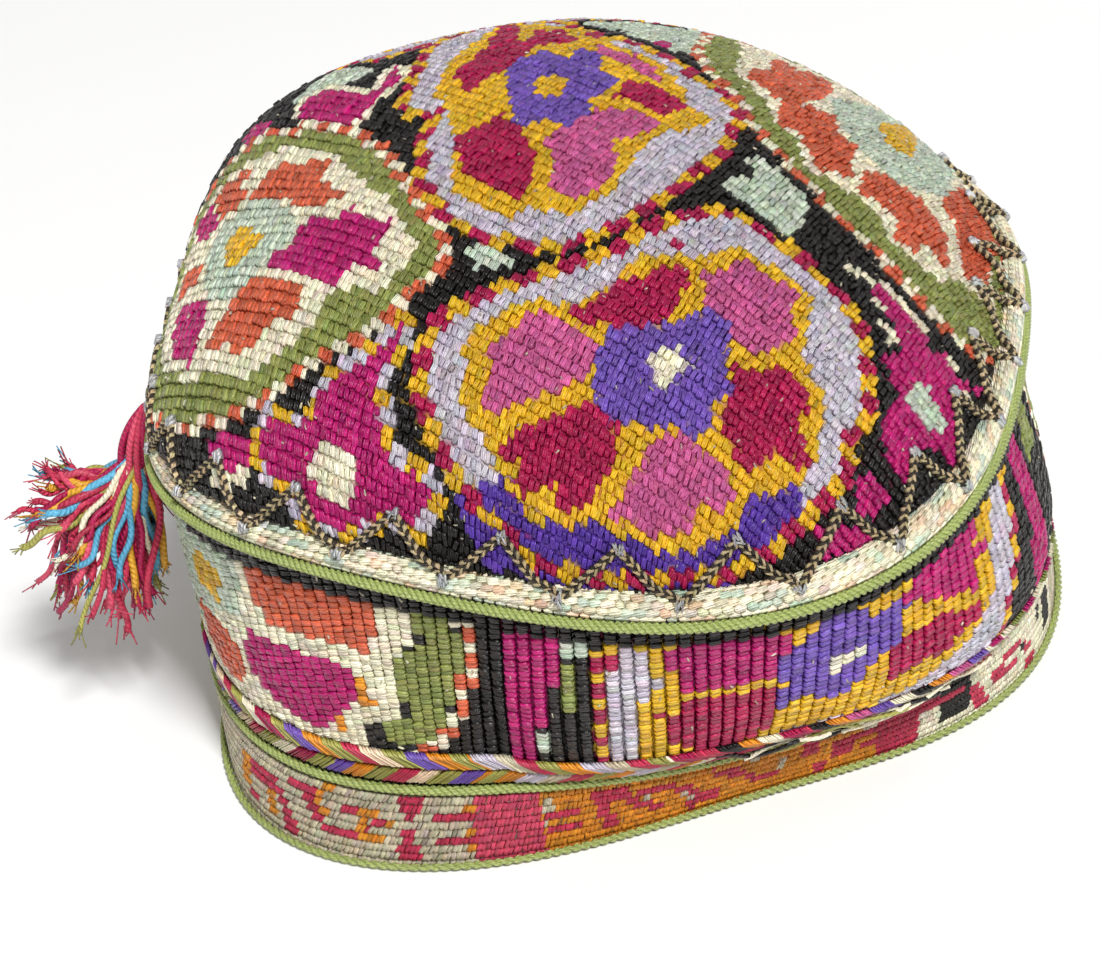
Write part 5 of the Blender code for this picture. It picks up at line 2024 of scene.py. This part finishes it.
    def make_cord(self) -> None:
        """Two strands twisted together, from the roll down to the knot."""
        steps = 60
        share = np.linspace(0, 1, steps)[:, None]
        end = self.middle + unit(self.seat - self.middle) * (self.knot / 2)
        sag = np.sin(np.pi * share) ** 2 * self.cord * 0.5 * self.out
        line = self.seat * (1 - share) + end * share + sag
        pile = Pile()
        for strand in range(2):
            angle = 2 * np.pi * (2.5 * share + strand / 2)
            path = line + self.cord * 0.24 * (np.cos(angle) * self.out + np.sin(angle) * self.along)
            pile.tube(round_rings(path, np.full(steps, self.cord * 0.27), 8), Silk.RED.linear(), False)
        dress(pile.make("tassel_twist"), ThreadFinish("tassel cord silk"), "tassel_yarn", "tassel_cord")


def round_rings(path: np.ndarray, radius: np.ndarray, sides: int) -> np.ndarray:
    """Rings about a line, at right angles to it, turned as little as can be from one to the next."""
    run = unit(np.gradient(path, axis=0))
    guide = np.array([0.31, 0.90, 0.30])
    out = unit(guide - run * (run @ guide)[:, None])
    up = np.cross(run, out)
    around = np.arange(sides) * 2 * np.pi / sides
    ring = np.cos(around)[None, :, None] * out[:, None] + np.sin(around)[None, :, None] * up[:, None]
    return path[:, None] + radius[:, None, None] * ring


@dataclass(frozen=True)
class Studio:
    """A pale floor, soft light from the upper right, and the camera at the photo's angle."""

    target: tuple[float, float, float] = (-0.0128, 0.0, 0.0332)
    distance: float = 0.602
    elevation: float = 32.5
    roll: float = -8.6
    lens: float = 95.56
    floor_size: float = 6.0

    def build(self) -> None:
        """Makes the floor, the lights and the camera."""
        self.make_floor()
        self.make_lights()
        self.make_camera()

    def make_floor(self) -> None:
        """A plain pale floor."""
        half = self.floor_size / 2
        corners = np.array([(-half, -half, 0.0), (half, -half, 0.0), (half, half, 0.0), (-half, half, 0.0)])
        corners[:, 2] = -0.0001
        mesh = bpy.data.meshes.new("floor")
        mesh.from_pydata(corners.tolist(), [], [(0, 1, 2, 3)])
        floor = bpy.data.objects.new("floor", mesh)
        bpy.context.scene.collection.objects.link(floor)
        kit = NodeKit("pale floor")
        spot = kit.add("ShaderNodeTexCoord")[3]
        noise = kit.add("ShaderNodeTexNoise", None, {"Vector": spot, "Scale": 9.0, "Detail": 3.0})[0]
        kit.into(Base_Color=(0.93, 0.93, 0.93, 1.0), Roughness=(noise - 0.5) * 0.1 + 0.8)
        mesh.materials.append(kit.material)

    def make_lights(self) -> None:
        """One key from the upper right front, a weak fill, and an even pale sky."""
        bpy.context.scene.view_settings.view_transform = "Standard"
        world = bpy.data.worlds.new("pale room")
        world.use_nodes = True
        sky = world.node_tree.nodes["Background"]
        sky.inputs["Color"].default_value = (1.0, 0.99, 0.97, 1.0)
        sky.inputs["Strength"].default_value = 0.38
        bpy.context.scene.world = world
        for name, place, size, power in (
            ("key", (0.75, -2.10, 2.90), 0.60, 132.0),
            ("fill", (-0.9, -0.7, 0.6), 0.8, 1.2),
        ):
            light = bpy.data.lights.new(name, "AREA")
            light.size = size
            light.energy = power
            made = bpy.data.objects.new(name, light)
            made.location = place
            aim = np.array(place) - np.array(self.target)
            made.rotation_mode = "QUATERNION"
            made.rotation_quaternion = vector_to_track(aim)
            bpy.context.scene.collection.objects.link(made)

    def make_camera(self) -> None:
        """The camera looks along +Y and down, turned a little about its own line of sight."""
        up_angle, roll = math.radians(self.elevation), math.radians(self.roll)
        forward = np.array([0.0, math.cos(up_angle), -math.sin(up_angle)])
        level = np.array([1.0, 0.0, 0.0])
        above = np.cross(level, forward)
        right = level * math.cos(roll) + above * math.sin(roll)
        up = -level * math.sin(roll) + above * math.cos(roll)
        place = np.array(self.target) - forward * self.distance
        camera = bpy.data.cameras.new("camera")
        camera.lens = self.lens
        camera.sensor_width = 36.0
        camera.clip_end = 20.0
        made = bpy.data.objects.new("camera", camera)
        columns = np.stack([right, up, -forward], 1)
        frame = np.eye(4)
        frame[:3, :3] = columns
        frame[:3, 3] = place
        made.matrix_world = Matrix(frame.tolist())
        bpy.context.scene.collection.objects.link(made)
        bpy.context.scene.camera = made


def vector_to_track(aim: np.ndarray) -> object:
    """The turn that points a light's +Z along a direction."""
    return Vector(aim.tolist()).to_track_quat("Z", "Y")


def main() -> None:
    """Builds the hat and the room round it."""
    logging.basicConfig(level=logging.INFO, format="%(message)s")
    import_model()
    form = HatForm()
    Studio().build()
    Crown(form).build()
    Band(form).build()
    Roll(form).build()
    ZigzagBraid(form).build()
    Trims(form).build()
    Tassel(form).build()


def plain(box: Sequence[Sequence[float]]) -> list[list[float]]:
    """A box as plain lists of numbers."""
    return [[float(value) for value in corner] for corner in box]


if __name__ == "__main__":
    main()
